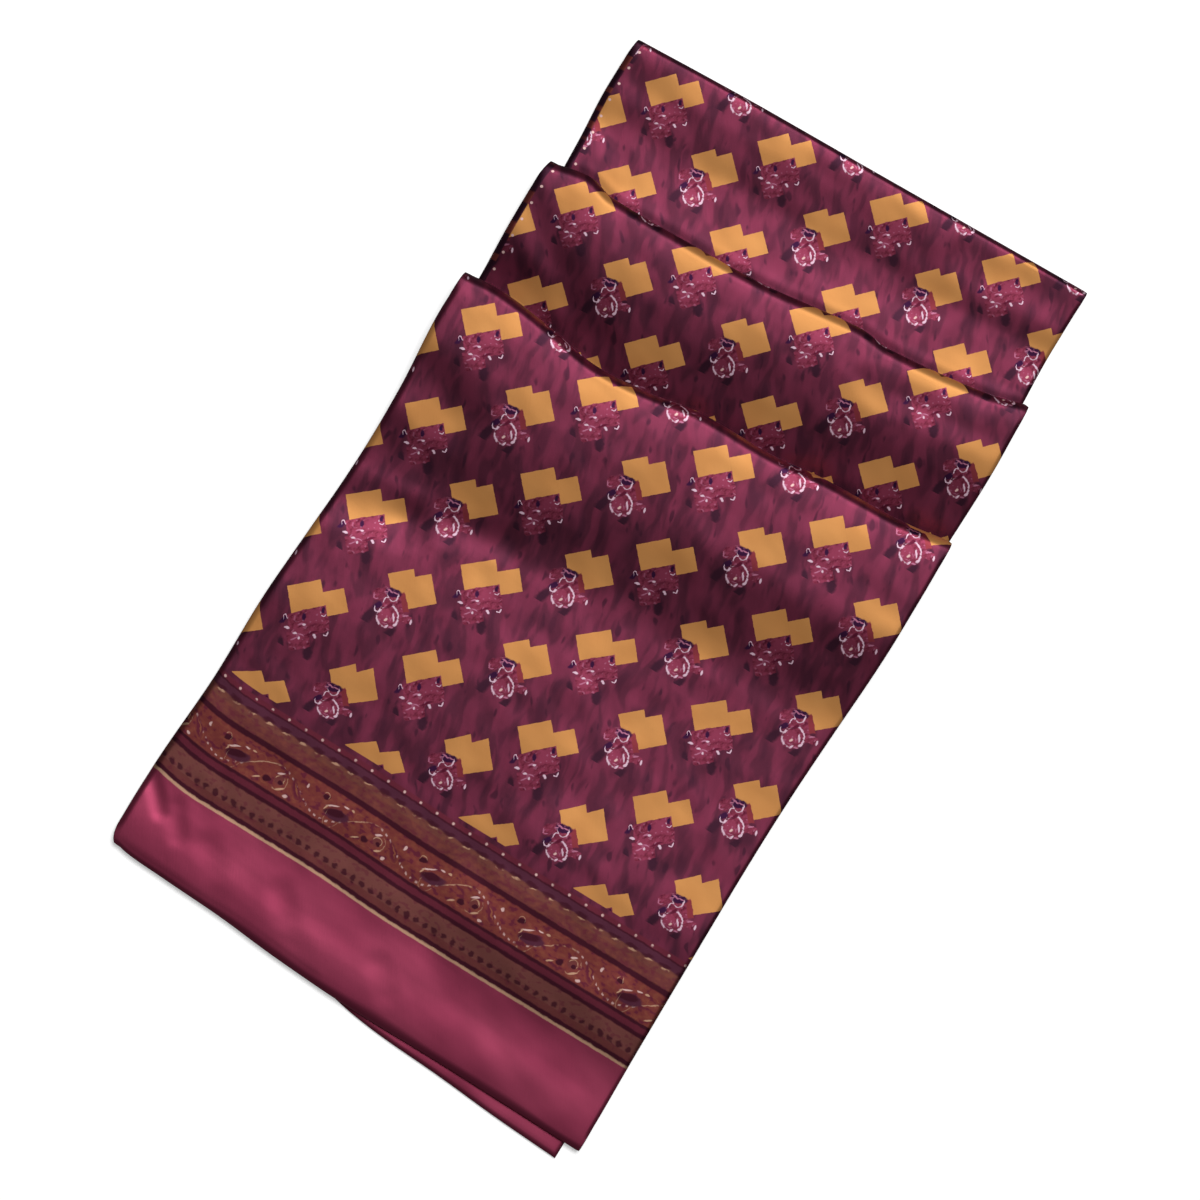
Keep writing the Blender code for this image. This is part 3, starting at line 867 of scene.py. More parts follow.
@dataclass(frozen=True)
class OtherEnd:
    """The scarf's other end, which lies flat on the ground and shows past the free end."""
    name: str = "other_end_silk"
    back: float = -199.0
    height: float = 2.7
    back_height: float = 2.2
    half_width: float = 123.6
    centre: float = 1.8
    side_round: float = 2.4
    columns: int = 150
    round_steps: int = 12
    run_steps: int = 20
    nose: float = 0.07              # share of its depth that the rounded edge takes
    slope: float = 1.4              # how soon it thins out towards the back
    ripple_height: float = 0.18
    ripple_wave: float = 38.0
    seed: float = 5.0

    def section(self) -> list[tuple[float, float]]:
        """Outline the end as (share of its depth, share of its height), once round.

        Returns:
            The outline's points, with the first one repeated.
        """
        steps = [(1 - self.nose) * i / self.run_steps for i in range(self.run_steps + 1)]
        run = [(1 - step, 1.0) for step in steps]
        turns = [math.pi * i / self.round_steps for i in range(self.round_steps + 1)]
        nose = [(self.nose * (1 - math.sin(t)), (1 + math.cos(t)) / 2) for t in turns]
        back = [(self.nose + step, 0.0) for step in steps]
        return run + nose[1:] + back[1:] + run[:1]

    def build(self) -> bpy.types.Object:
        """Model the other end as a flat closed tube with a rounded front edge.

        Returns:
            The piece, in the scene.
        """
        rows = []
        for i in range(self.columns + 1):
            share = (1 - math.cos(math.pi * i / self.columns)) / 2
            across = self.centre - self.half_width + 2 * self.half_width * share
            from_side = min(share, 1 - share) * 2 * self.half_width / self.side_round
            fullness = math.sqrt(1 - (1 - min(from_side, 1.0)) ** 2)
            end = float(curve_at(OTHER_END, np.array([across]))[0])
            row = []
            for depth, rise in self.section():
                along = end + depth * (self.back - end)
                top = self.height + (self.back_height - self.height) * ease(depth * self.slope)
                slow = ripple(np.array([across]), np.array([along]), self.ripple_wave, self.seed)
                top += self.ripple_height * float(slow[0])
                middle = top / 2
                row.append((across, along, middle + (rise - 0.5) * top * max(fullness, THIN_EDGE)))
            rows.append(row)
        points = np.array(rows)
        points[..., 2] -= min(points[..., 2].min(), 0.0)
        tube = shape_grid(points, points[..., :2], np.full(points.shape[:2], HALF_WIDTH))
        close_tube(tube)
        return add_object(self.name, tube)


# ----------------------------------------------------------------- node writing

class Grain(NamedTuple):
    """A flat noise: its shift, its turn in degrees, its features' size, and its octaves."""
    shift: tuple[float, float]
    turn: float
    size: tuple[float, float]
    detail: float = 1.0
    rough: float = 0.5


class Fleck(NamedTuple):
    """Where a noise shows as ink: past which level, how softly, and how strongly."""
    level: float
    soft: float
    share: float = 1.0


@dataclass(frozen=True)
class Signal:
    """A number, colour or vector that runs along a node link, with maths on it."""
    draft: "Draft"
    socket: bpy.types.NodeSocket

    def __add__(self, other: "Signal | float") -> "Signal":
        """Add."""
        return self.draft.math("ADD", self, other)

    def __radd__(self, other: float) -> "Signal":
        """Add to a plain number."""
        return self.draft.math("ADD", other, self)

    def __sub__(self, other: "Signal | float") -> "Signal":
        """Take away."""
        return self.draft.math("SUBTRACT", self, other)

    def __rsub__(self, other: float) -> "Signal":
        """Take away from a plain number."""
        return self.draft.math("SUBTRACT", other, self)

    def __mul__(self, other: "Signal | float") -> "Signal":
        """Multiply."""
        return self.draft.math("MULTIPLY", self, other)

    def __rmul__(self, other: float) -> "Signal":
        """Multiply a plain number."""
        return self.draft.math("MULTIPLY", other, self)

    def __truediv__(self, other: float) -> "Signal":
        """Divide by a plain number."""
        return self.draft.math("MULTIPLY", self, 1.0 / other)

    def __abs__(self) -> "Signal":
        """Drop the sign."""
        return self.draft.math("ABSOLUTE", self)

    def high(self, other: "Signal | float") -> "Signal":
        """Take the larger of two."""
        return self.draft.math("MAXIMUM", self, other)

    def wrap(self, pitch: float) -> "Signal":
        """Repeat from minus half to plus half a pitch."""
        return self.draft.math("WRAP", self, pitch / 2, -pitch / 2)

    def sine(self) -> "Signal":
        """Sine of an angle in radians."""
        return self.draft.math("SINE", self)

    def above(self, edge: float, soft: float) -> "Signal":
        """Mask of where this is over an edge, with a soft border."""
        return self.draft.ramp(self, edge - soft, edge + soft)

    def near(self, centre: float, reach: float, soft: float) -> "Signal":
        """Mask of where this is within reach of a centre."""
        return self.draft.ramp(abs(self - centre), reach + soft, reach - soft)

    def over(self, fleck: Fleck) -> "Signal":
        """Mask of where this noise is over a fleck's level."""
        return self.above(fleck.level, fleck.soft) * fleck.share

    def under(self, fleck: Fleck) -> "Signal":
        """Mask of where this noise is under a fleck's level."""
        return self.above(fleck.level, fleck.soft) * -fleck.share + fleck.share


class Draft:
    """Writes nodes into one node tree."""

    def __init__(self, tree: bpy.types.NodeTree) -> None:
        """Start writing into a tree."""
        self.tree = tree

    def node(self, kind: str, **settings: object) -> bpy.types.Node:
        """Add a node.

        Args:
            kind: Its type's name, without the ShaderNode in front.
            **settings: Attributes to set on it.

        Returns:
            The node.
        """
        node = self.tree.nodes.new("ShaderNode" + kind)
        for name, value in settings.items():
            setattr(node, name, value)
        return node

    def feed(self, socket: bpy.types.NodeSocket, value: object) -> None:
        """Link a signal to a socket, or set a plain value on it.

        Args:
            socket: An input of a node.
            value: A signal or a plain value.
        """
        if isinstance(value, Signal):
            self.tree.links.new(value.socket, socket)
        else:
            socket.default_value = value

    def math(self, operation: str, *values: "Signal | float") -> Signal:
        """Add a Math node on these values.

        Args:
            operation: The node's operation.
            *values: Signals or plain numbers.

        Returns:
            The result.
        """
        node = self.node("Math", operation=operation)
        for socket, value in zip(node.inputs, values):
            self.feed(socket, value)
        return Signal(self, node.outputs[0])

    def vector_math(self, operation: str, *values: object) -> Signal:
        """Add a Vector Math node on these vectors, and take its vector.

        Args:
            operation: The node's operation.
            *values: Signals or plain vectors.

        Returns:
            The resulting vector.
        """
        node = self.node("VectorMath", operation=operation)
        for socket, value in zip(node.inputs, values):
            self.feed(socket, value)
        return Signal(self, node.outputs["Vector"])

    def distance(self, place: Signal, centre: tuple[float, float] = (0.0, 0.0)) -> Signal:
        """Measure how far a place is from a centre.

        Args:
            place: The place, as a vector.
            centre: The centre.

        Returns:
            The distance.
        """
        node = self.node("VectorMath", operation="DISTANCE")
        self.feed(node.inputs[0], place)
        self.feed(node.inputs[1], (*centre, 0.0))
        return Signal(self, node.outputs["Value"])

    def split(self, place: Signal) -> tuple[Signal, Signal]:
        """Take a vector's first two numbers.

        Args:
            place: The vector.

        Returns:
            Its first and its second number.
        """
        node = self.node("SeparateXYZ")
        self.feed(node.inputs[0], place)
        return Signal(self, node.outputs[0]), Signal(self, node.outputs[1])

    def ramp(self, value: Signal, low: "Signal | float", high: "Signal | float") -> Signal:
        """Go softly from 0 to 1 while a value goes from low to high.

        Args:
            value: The value.
            low: Where it counts as 0.
            high: Where it counts as 1.

        Returns:
            A number from 0 to 1.
        """
        node = self.node("MapRange", interpolation_type="SMOOTHSTEP")
        for name, setting in (("Value", value), ("From Min", low), ("From Max", high)):
            self.feed(node.inputs[name], setting)
        return Signal(self, node.outputs["Result"])

    def mix(self, factor: "Signal | float", under: object, over: object) -> Signal:
        """Lay one colour over another.

        Args:
            factor: How much of the upper colour shows.
            under: The lower colour.
            over: The upper colour.

        Returns:
            The colour.
        """
        node = self.node("Mix", data_type="RGBA", clamp_factor=True)
        # a Mix node has a set of sockets of the same names for each data type
        factor_socket, under_socket, over_socket = (node.inputs[i] for i in (0, 6, 7))
        self.feed(factor_socket, factor)
        self.feed(under_socket, under)
        self.feed(over_socket, over)
        return Signal(self, node.outputs[2])

    def vector(self, x: "Signal | float", y: "Signal | float") -> Signal:
        """Join two numbers into a flat vector.

        Args:
            x: The first number.
            y: The second number.

        Returns:
            The vector.
        """
        node = self.node("CombineXYZ")
        self.feed(node.inputs[0], x)
        self.feed(node.inputs[1], y)
        return Signal(self, node.outputs[0])

    def settle(self, place: Signal, centre: tuple[float, float] = (0.0, 0.0), turn: float = 0.0,
               size: tuple[float, float] = (1.0, 1.0)) -> Signal:
        """Read a place on a mark's own axes.

        Args:
            place: The place, as a vector.
            centre: The mark's centre.
            turn: How far its axes are turned anticlockwise, in degrees.
            size: The lengths that count as 1 along its two axes.

        Returns:
            The place as a vector on those axes.
        """
        node = self.node("Mapping", vector_type="TEXTURE")
        self.feed(node.inputs["Vector"], place)
        node.inputs["Location"].default_value = (*centre, 0.0)
        node.inputs["Rotation"].default_value = (0.0, 0.0, math.radians(turn))
        node.inputs["Scale"].default_value = (*size, 1.0)
        return Signal(self, node.outputs["Vector"])

    def noise(self, place: Signal, grain: Grain) -> Signal:
        """Read a flat noise between 0 and 1.

        Args:
            place: Where to read it, as a vector.
            grain: The noise's size, turn and octaves.

        Returns:
            The noise value.
        """
        node = self.node("TexNoise", noise_dimensions="2D")
        here = self.settle(place, grain.shift, grain.turn, grain.size)
        settings = {"Vector": here, "Scale": 1.0, "Detail": grain.detail, "Roughness": grain.rough}
        for name, value in settings.items():
            self.feed(node.inputs[name], value)
        return Signal(self, node.outputs["Fac"])

    def group(self, effect: "Effect", **values: object) -> dict[str, Signal]:
        """Place an effect's node group and feed its inputs by name.

        Args:
            effect: The effect.
            **values: Its inputs.

        Returns:
            Its outputs by name.
        """
        node = self.node("Group", node_tree=effect.tree())
        for name, value in values.items():
            self.feed(node.inputs[name], value)
        return {socket.name: Signal(self, socket) for socket in node.outputs}


class Effect:
    """A shader node group with named inputs and outputs, built once."""
    name = "effect"
    inputs: tuple[tuple[str, str], ...] = ()
    outputs: tuple[tuple[str, str], ...] = (("Mask", "NodeSocketFloat"),)

    def tree(self) -> bpy.types.NodeTree:
        """Find the group, or build it the first time.

        Returns:
            The node group.
        """
        found = bpy.data.node_groups.get(self.name)
        if found is not None:
            return found
        tree = bpy.data.node_groups.new(self.name, "ShaderNodeTree")
        for name, kind in self.inputs:
            tree.interface.new_socket(name, in_out="INPUT", socket_type=kind)
        for name, kind in self.outputs:
            tree.interface.new_socket(name, in_out="OUTPUT", socket_type=kind)
        draft = Draft(tree)
        entry = tree.nodes.new("NodeGroupInput")
        leave = tree.nodes.new("NodeGroupOutput")
        results = self.write(draft, {s.name: Signal(draft, s) for s in entry.outputs if s.name})
        for name, value in results.items():
            draft.feed(leave.inputs[name], value)
        return tree

    def write(self, draft: Draft, given: dict[str, Signal]) -> dict[str, Signal]:
        """Write the group's nodes.

        Args:
            draft: The group's draft.
            given: Its inputs by name.

        Returns:
            Its outputs by name.
        """
        raise NotImplementedError


class Curl(Effect):
    """Mask of an open ring around the origin, drawn like a short curled brush stroke."""
    name = "curl_mask"
    inputs = (("Place", "NodeSocketVector"), ("Width", "NodeSocketFloat"), ("Gap", "NodeSocketFloat"))
    taper = 0.6             # length over which the stroke swells from its tip
    spare_width = 0.012
    rim = (0.02, -0.10)     # the stroke's soft rim, outside and inside its width

    def write(self, draft: Draft, given: dict[str, Signal]) -> dict[str, Signal]:
        """Cut a ring by a straight line, and thin it towards its ends.

        Args:
            draft: Where the nodes go.
            given: The group's inputs by name.

        Returns:
            The mask.
        """
        towards, _ = draft.split(given["Place"])
        ring = abs(draft.distance(given["Place"]) - 1.0)
        body = draft.ramp(towards - given["Gap"], 0.0, -self.taper)
        return {"Mask": draft.ramp(ring - (given["Width"] + self.spare_width) * body, *self.rim)}


class Brushwork(Effect):
    """The ground: broad soft upright brush strokes with a few darker dabs."""
    name = "brushed_ground"
    inputs = (("Place", "NodeSocketVector"),)
    outputs = (("Colour", "NodeSocketColor"), ("Tone", "NodeSocketFloat"))
    slow = Grain((5.0, 3.0), 20.0, (19.0, 19.0))
    bend = 5.0              # how far the strokes swing aside, in millimetres
    broad = Grain((0.0, 0.0), 109.0, (26.0, 9.0), 0.8)
    fine = Grain((31.0, 8.0), 104.0, (17.0, 5.6))
    dabs = Grain((71.0, 47.0), 113.0, (9.6, 4.2), 0.8)
    magenta_strokes = Fleck(0.50, 0.08)
    mulberry_strokes = Fleck(0.60, 0.10, 0.6)
    dark_strokes = Fleck(0.36, 0.10, 0.45)
    dark_dabs = Fleck(0.75, 0.07, 0.75)

    def write(self, draft: Draft, given: dict[str, Signal]) -> dict[str, Signal]:
        """Stretch noises along the strokes and cut them into dabs.

        Args:
            draft: Where the nodes go.
            given: The group's inputs by name.

        Returns:
            The ground's colour and its slow change of tone.
        """
        tone = draft.noise(given["Place"], self.slow)
        bent = draft.vector_math("ADD", given["Place"], draft.vector((tone - 0.5) * self.bend, 0.0))
        broad, fine, dabs = (draft.noise(bent, grain) for grain in (self.broad, self.fine, self.dabs))
        colour = draft.mix(broad.over(self.magenta_strokes), Ink.PLUM.rgba, Ink.MAGENTA.rgba)
        colour = draft.mix(fine.over(self.mulberry_strokes), colour, Ink.MULBERRY.rgba)
        colour = draft.mix(fine.under(self.dark_strokes), colour, Ink.AUBERGINE.rgba)
        colour = draft.mix(dabs.over(self.dark_dabs), colour, Ink.AUBERGINE.rgba)
        return {"Colour": colour, "Tone": tone}


class Weave(Effect):
    """Fine diagonal ribs of a satin weave with thin slubs, and slow ripples, as a height."""
    name = "satin_weave"
    inputs = (("Place", "NodeSocketVector"), ("Ripples", "NodeSocketFloat"))
    outputs = (("Height", "NodeSocketFloat"),)
    rib_pitch = 0.5
    thread = Grain((0.0, 0.0), 27.0, (0.8, 8.0), 0.0)
    swell = Grain((2.0, 9.0), -30.0, (15.0, 11.0), 0.0)
    rib_height, slub_height = 0.02, 0.03

    def write(self, draft: Draft, given: dict[str, Signal]) -> dict[str, Signal]:
        """Add close ribs, long thin slubs and slow ripples.

        Args:
            draft: Where the nodes go.
            given: The group's inputs by name.

        Returns:
            The height.
        """
        across, _ = draft.split(draft.settle(given["Place"], turn=self.thread.turn))
        ribs = (across * (math.tau / self.rib_pitch)).sine()
        slubs = draft.noise(given["Place"], self.thread)
        slow = draft.noise(given["Place"], self.swell) * given["Ripples"]
        return {"Height": ribs * self.rib_height + slubs * self.slub_height + slow}


CURL, BRUSHWORK, WEAVE = Curl(), Brushwork(), Weave()


# ------------------------------------------------------------------ inks and marks

class Ink(Enum):
    """The print's colours, as red, green and blue from 0 to 255."""
    PLUM = (90, 40, 58)
    MAGENTA = (113, 47, 69)
    MULBERRY = (124, 50, 74)
    AUBERGINE = (62, 31, 47)
    GOLD = (210, 148, 86)
    GOLD_SHADE = (198, 135, 76)
    WINE = (116, 45, 64)
    WINE_DARK = (92, 28, 50)
    BRICK = (130, 52, 60)
    LILAC = (222, 188, 206)
    PETAL = (176, 108, 136)
    ROSE = (136, 56, 80)
    LEAF = (56, 24, 56)
    CREAM = (222, 184, 180)
    RUST = (132, 63, 60)
    AMBER = (150, 86, 66)
    BROWN = (120, 62, 62)
    OLIVE = (122, 71, 64)
    PURPLE = (92, 46, 64)
    SOFT_BROWN = (130, 76, 72)
    TAN = (204, 160, 132)
    STRIPE = (110, 44, 60)
    DARK = (72, 28, 42)
    SATIN = (163, 66, 94)
    SATIN_DEEP = (156, 61, 89)

    @property
    def rgba(self) -> tuple[float, float, float, float]:
        """Give the colour in linear light.

        Returns:
            Red, green, blue and a full alpha.
        """
        linear = [
            (c / 255 / 12.92) if c <= 10 else ((c / 255 + 0.055) / 1.055) ** 2.4
            for c in self.value
        ]
        return (*linear, 1.0)


class Rect(NamedTuple):
    """A rectangle on a motif's own axes."""
    left: float
    right: float
    bottom: float
    top: float


class CurlMark(NamedTuple):
    """A curled stroke: centre, radii, width, the side that is open, and how far."""
    h: float
    k: float
    radius: float
    stretch: float
    width: float
    opens: float
    gap: float
    ink: Ink


class DabMark(NamedTuple):
    """An oval dab: centre, half length, half width, turn in degrees, softness."""
    h: float
    k: float
    length: float
    width: float
    turn: float
    soft: float
    ink: Ink


class Band(NamedTuple):
    """A stripe of the border, from its distance past the dotted line."""
    start: float
    ink: Ink


class Motif(NamedTuple):
    """One motif of the repeat, on its own axes."""
    golds: tuple[Rect, ...]
    bricks: tuple[Rect, ...]
    wines: tuple[Rect, ...]
    rounds: tuple[DabMark, ...]         # more of the wine patch, in its mottled inks
    under_dabs: tuple[DabMark, ...]
    dabs: tuple[DabMark, ...]
    curls: tuple[CurlMark, ...]


SQUARES = Motif(
    golds=(Rect(-12.3, 3.7, -4.4, 8.0), Rect(3.6, 13.7, -9.6, 1.9)),
    bricks=(),
    wines=(Rect(-14.2, 3.7, -16.0, -4.3), Rect(-15.8, -5.8, -20.9, -12.0)),
    rounds=(),
    under_dabs=(
        DabMark(-19.4, -17.2, 4.4, 1.6, 80, 0.7, Ink.AUBERGINE),
        DabMark(-7.6, -22.6, 4.6, 2.4, 76, 0.8, Ink.AUBERGINE),
    ),
    dabs=(
        DabMark(-2.0, -8.2, 4.4, 2.8, 12, 0.9, Ink.ROSE),
        DabMark(-11.4, -15.0, 3.8, 2.6, 30, 1.0, Ink.ROSE),
        DabMark(-16.2, -6.2, 2.0, 1.1, 20, 0.5, Ink.LEAF),
        DabMark(-7.0, -7.3, 1.9, 0.9, 78, 0.5, Ink.LEAF),
        DabMark(2.2, -6.4, 1.5, 0.8, 70, 0.5, Ink.LEAF),
        DabMark(-4.6, -15.2, 2.8, 0.6, 6, 0.8, Ink.WINE_DARK),
        DabMark(-8.2, -10.4, 1.9, 0.45, -12, 0.6, Ink.PETAL),
        DabMark(-7.2, -10.6, 0.9, 0.55, 0, 0.5, Ink.LILAC),
        DabMark(-15.0, -9.9, 1.1, 0.6, -25, 0.5, Ink.LILAC),
        DabMark(-12.0, -13.2, 1.0, 0.4, -25, 0.6, Ink.LILAC),
        DabMark(-12.6, -15.6, 1.6, 0.3, 8, 0.7, Ink.PETAL),
        DabMark(-9.4, -14.6, 1.5, 0.3, -38, 0.7, Ink.PETAL),
        DabMark(-10.4, -16.0, 0.6, 0.5, 20, 0.7, Ink.LILAC),
        DabMark(-3.4, -16.8, 1.0, 0.6, -45, 0.5, Ink.LILAC),
    ),
    curls=(
        CurlMark(-15.2, -6.2, 2.1, 1.0, 0.16, -95, 0.3, Ink.LILAC),
        CurlMark(2.2, -7.6, 1.5, 1.3, 0.18, 60, 0.2, Ink.LILAC),
        CurlMark(1.6, -16.4, 1.5, 1.2, 0.20, 100, 0.1, Ink.LILAC),
    ),
)
ROSES = Motif(
    golds=(Rect(-10.6, 1.6, -4.4, 8.7), Rect(-4.4, 9.2, -9.5, 4.9)),
    bricks=(Rect(-8.3, -4.5, -10.6, -1.6),),
    wines=(Rect(-16.2, -7.0, -15.0, -3.8),),
    rounds=(
        DabMark(-14.7, -11.6, 5.2, 4.9, 0, 0.2, Ink.ROSE),
        DabMark(-6.0, -14.3, 2.3, 1.9, -10, 0.3, Ink.ROSE),
        DabMark(-11.8, -0.9, 4.6, 3.2, -30, 0.5, Ink.ROSE),
        DabMark(-16.8, 0.2, 2.9, 2.5, 50, 0.3, Ink.ROSE),
    ),
    under_dabs=(
        DabMark(-24.1, -9.4, 6.0, 2.2, 36, 0.8, Ink.AUBERGINE),
        DabMark(-15.9, -19.2, 4.6, 1.8, 30, 0.9, Ink.AUBERGINE),
    ),
    dabs=(
        DabMark(-16.2, -10.6, 3.2, 2.8, 20, 0.9, Ink.ROSE),
        DabMark(-9.7, -0.6, 3.9, 2.1, -28, 0.35, Ink.LEAF),
        DabMark(-18.0, -4.8, 2.6, 1.2, 12, 0.4, Ink.LEAF),
        DabMark(-12.6, -6.4, 2.6, 0.7, 14, 0.6, Ink.WINE_DARK),
        DabMark(-11.3, 0.6, 1.7, 0.4, -52, 0.7, Ink.PETAL),
        DabMark(-8.9, -0.9, 1.9, 0.32, -34, 0.7, Ink.PETAL),
        DabMark(-8.3, -3.2, 1.6, 0.4, 58, 0.6, Ink.LILAC),
        DabMark(-12.0, -12.0, 2.0, 0.5, 82, 0.5, Ink.LILAC),
        DabMark(-15.8, -12.3, 0.7, 0.6, 0, 0.7, Ink.CREAM),
        DabMark(-16.2, -15.5, 1.1, 0.6, 12, 0.5, Ink.LILAC),
        DabMark(-11.8, -15.6, 1.1, 0.6, 16, 0.5, Ink.LILAC),
        DabMark(-14.1, -16.3, 1.0, 0.4, -10, 0.6, Ink.PETAL),
        DabMark(-4.4, -15.9, 1.2, 0.5, 62, 0.5, Ink.LILAC),
        DabMark(-6.3, -12.5, 1.4, 0.35, -8, 0.6, Ink.PETAL),
    ),
    curls=(
        CurlMark(-9.8, -0.7, 3.9, 2.6, 0.08, 78, 0.20, Ink.LILAC),
        CurlMark(-13.6, -3.6, 1.3, 1.6, 0.18, -70, 0.30, Ink.LILAC),
        CurlMark(-18.2, -5.2, 2.7, 1.5, 0.13, 66, 0.20, Ink.LILAC),
        CurlMark(-14.6, -11.5, 5.2, 4.7, 0.10, -14, -0.10, Ink.LILAC),
        CurlMark(-17.0, 0.2, 2.3, 1.6, 0.14, 30, -0.10, Ink.PETAL),
        CurlMark(-13.2, 2.0, 2.0, 1.4, 0.12, 140, 0.20, Ink.PETAL),
        CurlMark(-15.9, -11.9, 2.3, 2.2, 0.09, 120, 0.10, Ink.PETAL),
        CurlMark(-12.4, -10.9, 2.7, 4.3, 0.15, 178, 0.00, Ink.LILAC),
    ),
)

BORDER_BANDS = (
    Band(-1.0, Ink.STRIPE), Band(1.7, Ink.DARK), Band(2.5, Ink.PURPLE), Band(6.5, Ink.OLIVE),
    Band(10.2, Ink.BROWN), Band(15.4, Ink.DARK), Band(18.2, Ink.RUST), Band(35.0, Ink.DARK),
    Band(36.6, Ink.STRIPE), Band(39.4, Ink.DARK), Band(41.4, Ink.SOFT_BROWN), Band(50.4, Ink.BROWN),
    Band(53.6, Ink.DARK), Band(55.8, Ink.TAN), Band(57.3, Ink.SATIN),
)
SCROLL_DABS = (
    DabMark(0.6, -0.6, 6.3, 2.7, 12, 0.35, Ink.PURPLE),
    DabMark(-0.6, 0.0, 5.0, 1.8, 15, 0.5, Ink.DARK),
    DabMark(-7.8, 4.6, 2.0, 1.2, 10, 0.5, Ink.DARK),
    DabMark(17.6, -2.7, 1.9, 1.5, 0, 0.5, Ink.DARK),
    DabMark(23.4, -0.6, 2.6, 2.2, 0, 0.5, Ink.BROWN),
    DabMark(24.4, -1.2, 1.3, 1.0, 0, 0.5, Ink.DARK),
    DabMark(32.2, 0.0, 4.8, 1.5, -52, 0.7, Ink.STRIPE),
    DabMark(32.6, 0.2, 3.2, 0.4, -52, 0.7, Ink.AMBER),
    DabMark(-3.2, 2.5, 3.1, 0.42, 26, 0.5, Ink.CREAM),
    DabMark(-5.6, 0.6, 1.5, 0.4, 70, 0.5, Ink.TAN),
    DabMark(2.9, 5.2, 1.3, 0.5, 4, 0.6, Ink.CREAM),
    DabMark(6.6, 5.5, 1.0, 0.5, 0, 0.6, Ink.TAN),
    DabMark(13.0, -4.6, 1.9, 0.45, 32, 0.6, Ink.TAN),
    DabMark(22.4, 2.6, 1.8, 0.5, 26, 0.6, Ink.CREAM),
    DabMark(25.6, -4.0, 2.1, 0.5, 34, 0.6, Ink.TAN),
    DabMark(29.4, -5.8, 1.0, 0.7, 0, 0.6, Ink.CREAM),
    DabMark(36.4, 4.6, 0.7, 1.1, 0, 0.6, Ink.CREAM),
)
SCROLL_CURLS = (
    CurlMark(-0.2, -0.2, 8.0, 3.9, 0.045, 78, 0.10, Ink.TAN),
    CurlMark(-8.0, 4.4, 2.4, 1.7, 0.12, -90, 0.30, Ink.TAN),
    CurlMark(23.6, -0.6, 2.5, 2.3, 0.12, -100, 0.30, Ink.TAN),
    CurlMark(23.2, -0.8, 4.4, 4.4, 0.06, 150, 0.20, Ink.TAN),
    CurlMark(17.6, -2.6, 2.8, 2.4, 0.10, 40, 0.20, Ink.AMBER),
    CurlMark(32.2, 0.0, 5.8, 2.5, 0.06, 130, 0.45, Ink.AMBER),
    CurlMark(39.6, -1.2, 3.4, 4.6, 0.07, 200, 0.20, Ink.AMBER),
    CurlMark(41.6, 1.8, 2.3, 2.2, 0.11, -30, 0.20, Ink.AMBER),
    CurlMark(11.6, 2.6, 4.0, 2.8, 0.07, -60, 0.30, Ink.AMBER),
    CurlMark(6.6, -5.2, 3.2, 1.6, 0.09, 90, 0.20, Ink.AMBER),
)


def lay_box(draft: Draft, place: Signal, box: Rect, soft: float) -> Signal:
    """Mask a rectangle.

    Args:
        draft: Where the nodes go.
        place: The place, as a vector.
        box: The rectangle.
        soft: The width of its soft border, in millimetres.

    Returns:
        The mask.
    """
    centre = ((box.left + box.right) / 2, (box.bottom + box.top) / 2)
    half = ((box.right - box.left) / 2, (box.top - box.bottom) / 2)
    x, y = draft.split(draft.vector_math("ABSOLUTE", draft.settle(place, centre, 0.0, half)))
    reach, edge = x.high(y), 2 * soft / (half[0] + half[1])
    return draft.ramp(reach, 1 + edge, 1 - edge)


def lay_boxes(draft: Draft, place: Signal, boxes: Sequence[Rect], soft: float) -> Signal:
    """Join the masks of several rectangles.

    Args:
        draft: Where the nodes go.
        place: The place, as a vector.
        boxes: The rectangles.
        soft: The width of their soft borders.

    Returns:
        The mask.
    """
    whole = lay_box(draft, place, boxes[0], soft)
    for box in boxes[1:]:
        whole = whole.high(lay_box(draft, place, box, soft))
    return whole


def lay_oval(draft: Draft, place: Signal, dab: DabMark) -> Signal:
    """Mask of an oval dab."""
    here = draft.settle(place, (dab.h, dab.k), dab.turn, (dab.length, dab.width))
    return draft.ramp(draft.distance(here), 1 + dab.soft / 2, 1 - dab.soft / 2)


def lay_dabs(draft: Draft, place: Signal, colour: Signal, dabs: Iterable[DabMark]) -> Signal:
    """Paint oval dabs over a colour.

    Args:
        draft: Where the nodes go.
        place: The place, as a vector.
        colour: What lies beneath.
        dabs: The dabs, from the lowest up.

    Returns:
        The colour with the dabs on it.
    """
    for dab in dabs:
        colour = draft.mix(lay_oval(draft, place, dab), colour, dab.ink.rgba)
    return colour


def lay_curls(draft: Draft, place: Signal, colour: Signal, curls: Iterable[CurlMark],
              strength: Signal) -> Signal:
    """Paint curled strokes over a colour.

    Args:
        draft: Where the nodes go.
        place: The place, as a vector.
        colour: What lies beneath.
        curls: The strokes.
        strength: How strong the brush's paint is at the place.

    Returns:
        The colour with the strokes on it.
    """
    for curl in curls:
        size = (curl.radius, curl.stretch)
        here = draft.settle(place, (curl.h, curl.k), curl.opens, size)
        mask = draft.group(CURL, Place=here, Width=curl.width, Gap=curl.gap)["Mask"]
        colour = draft.mix(mask * strength, colour, curl.ink.rgba)
    return colour


# --------------------------------------------------------------------- finishes

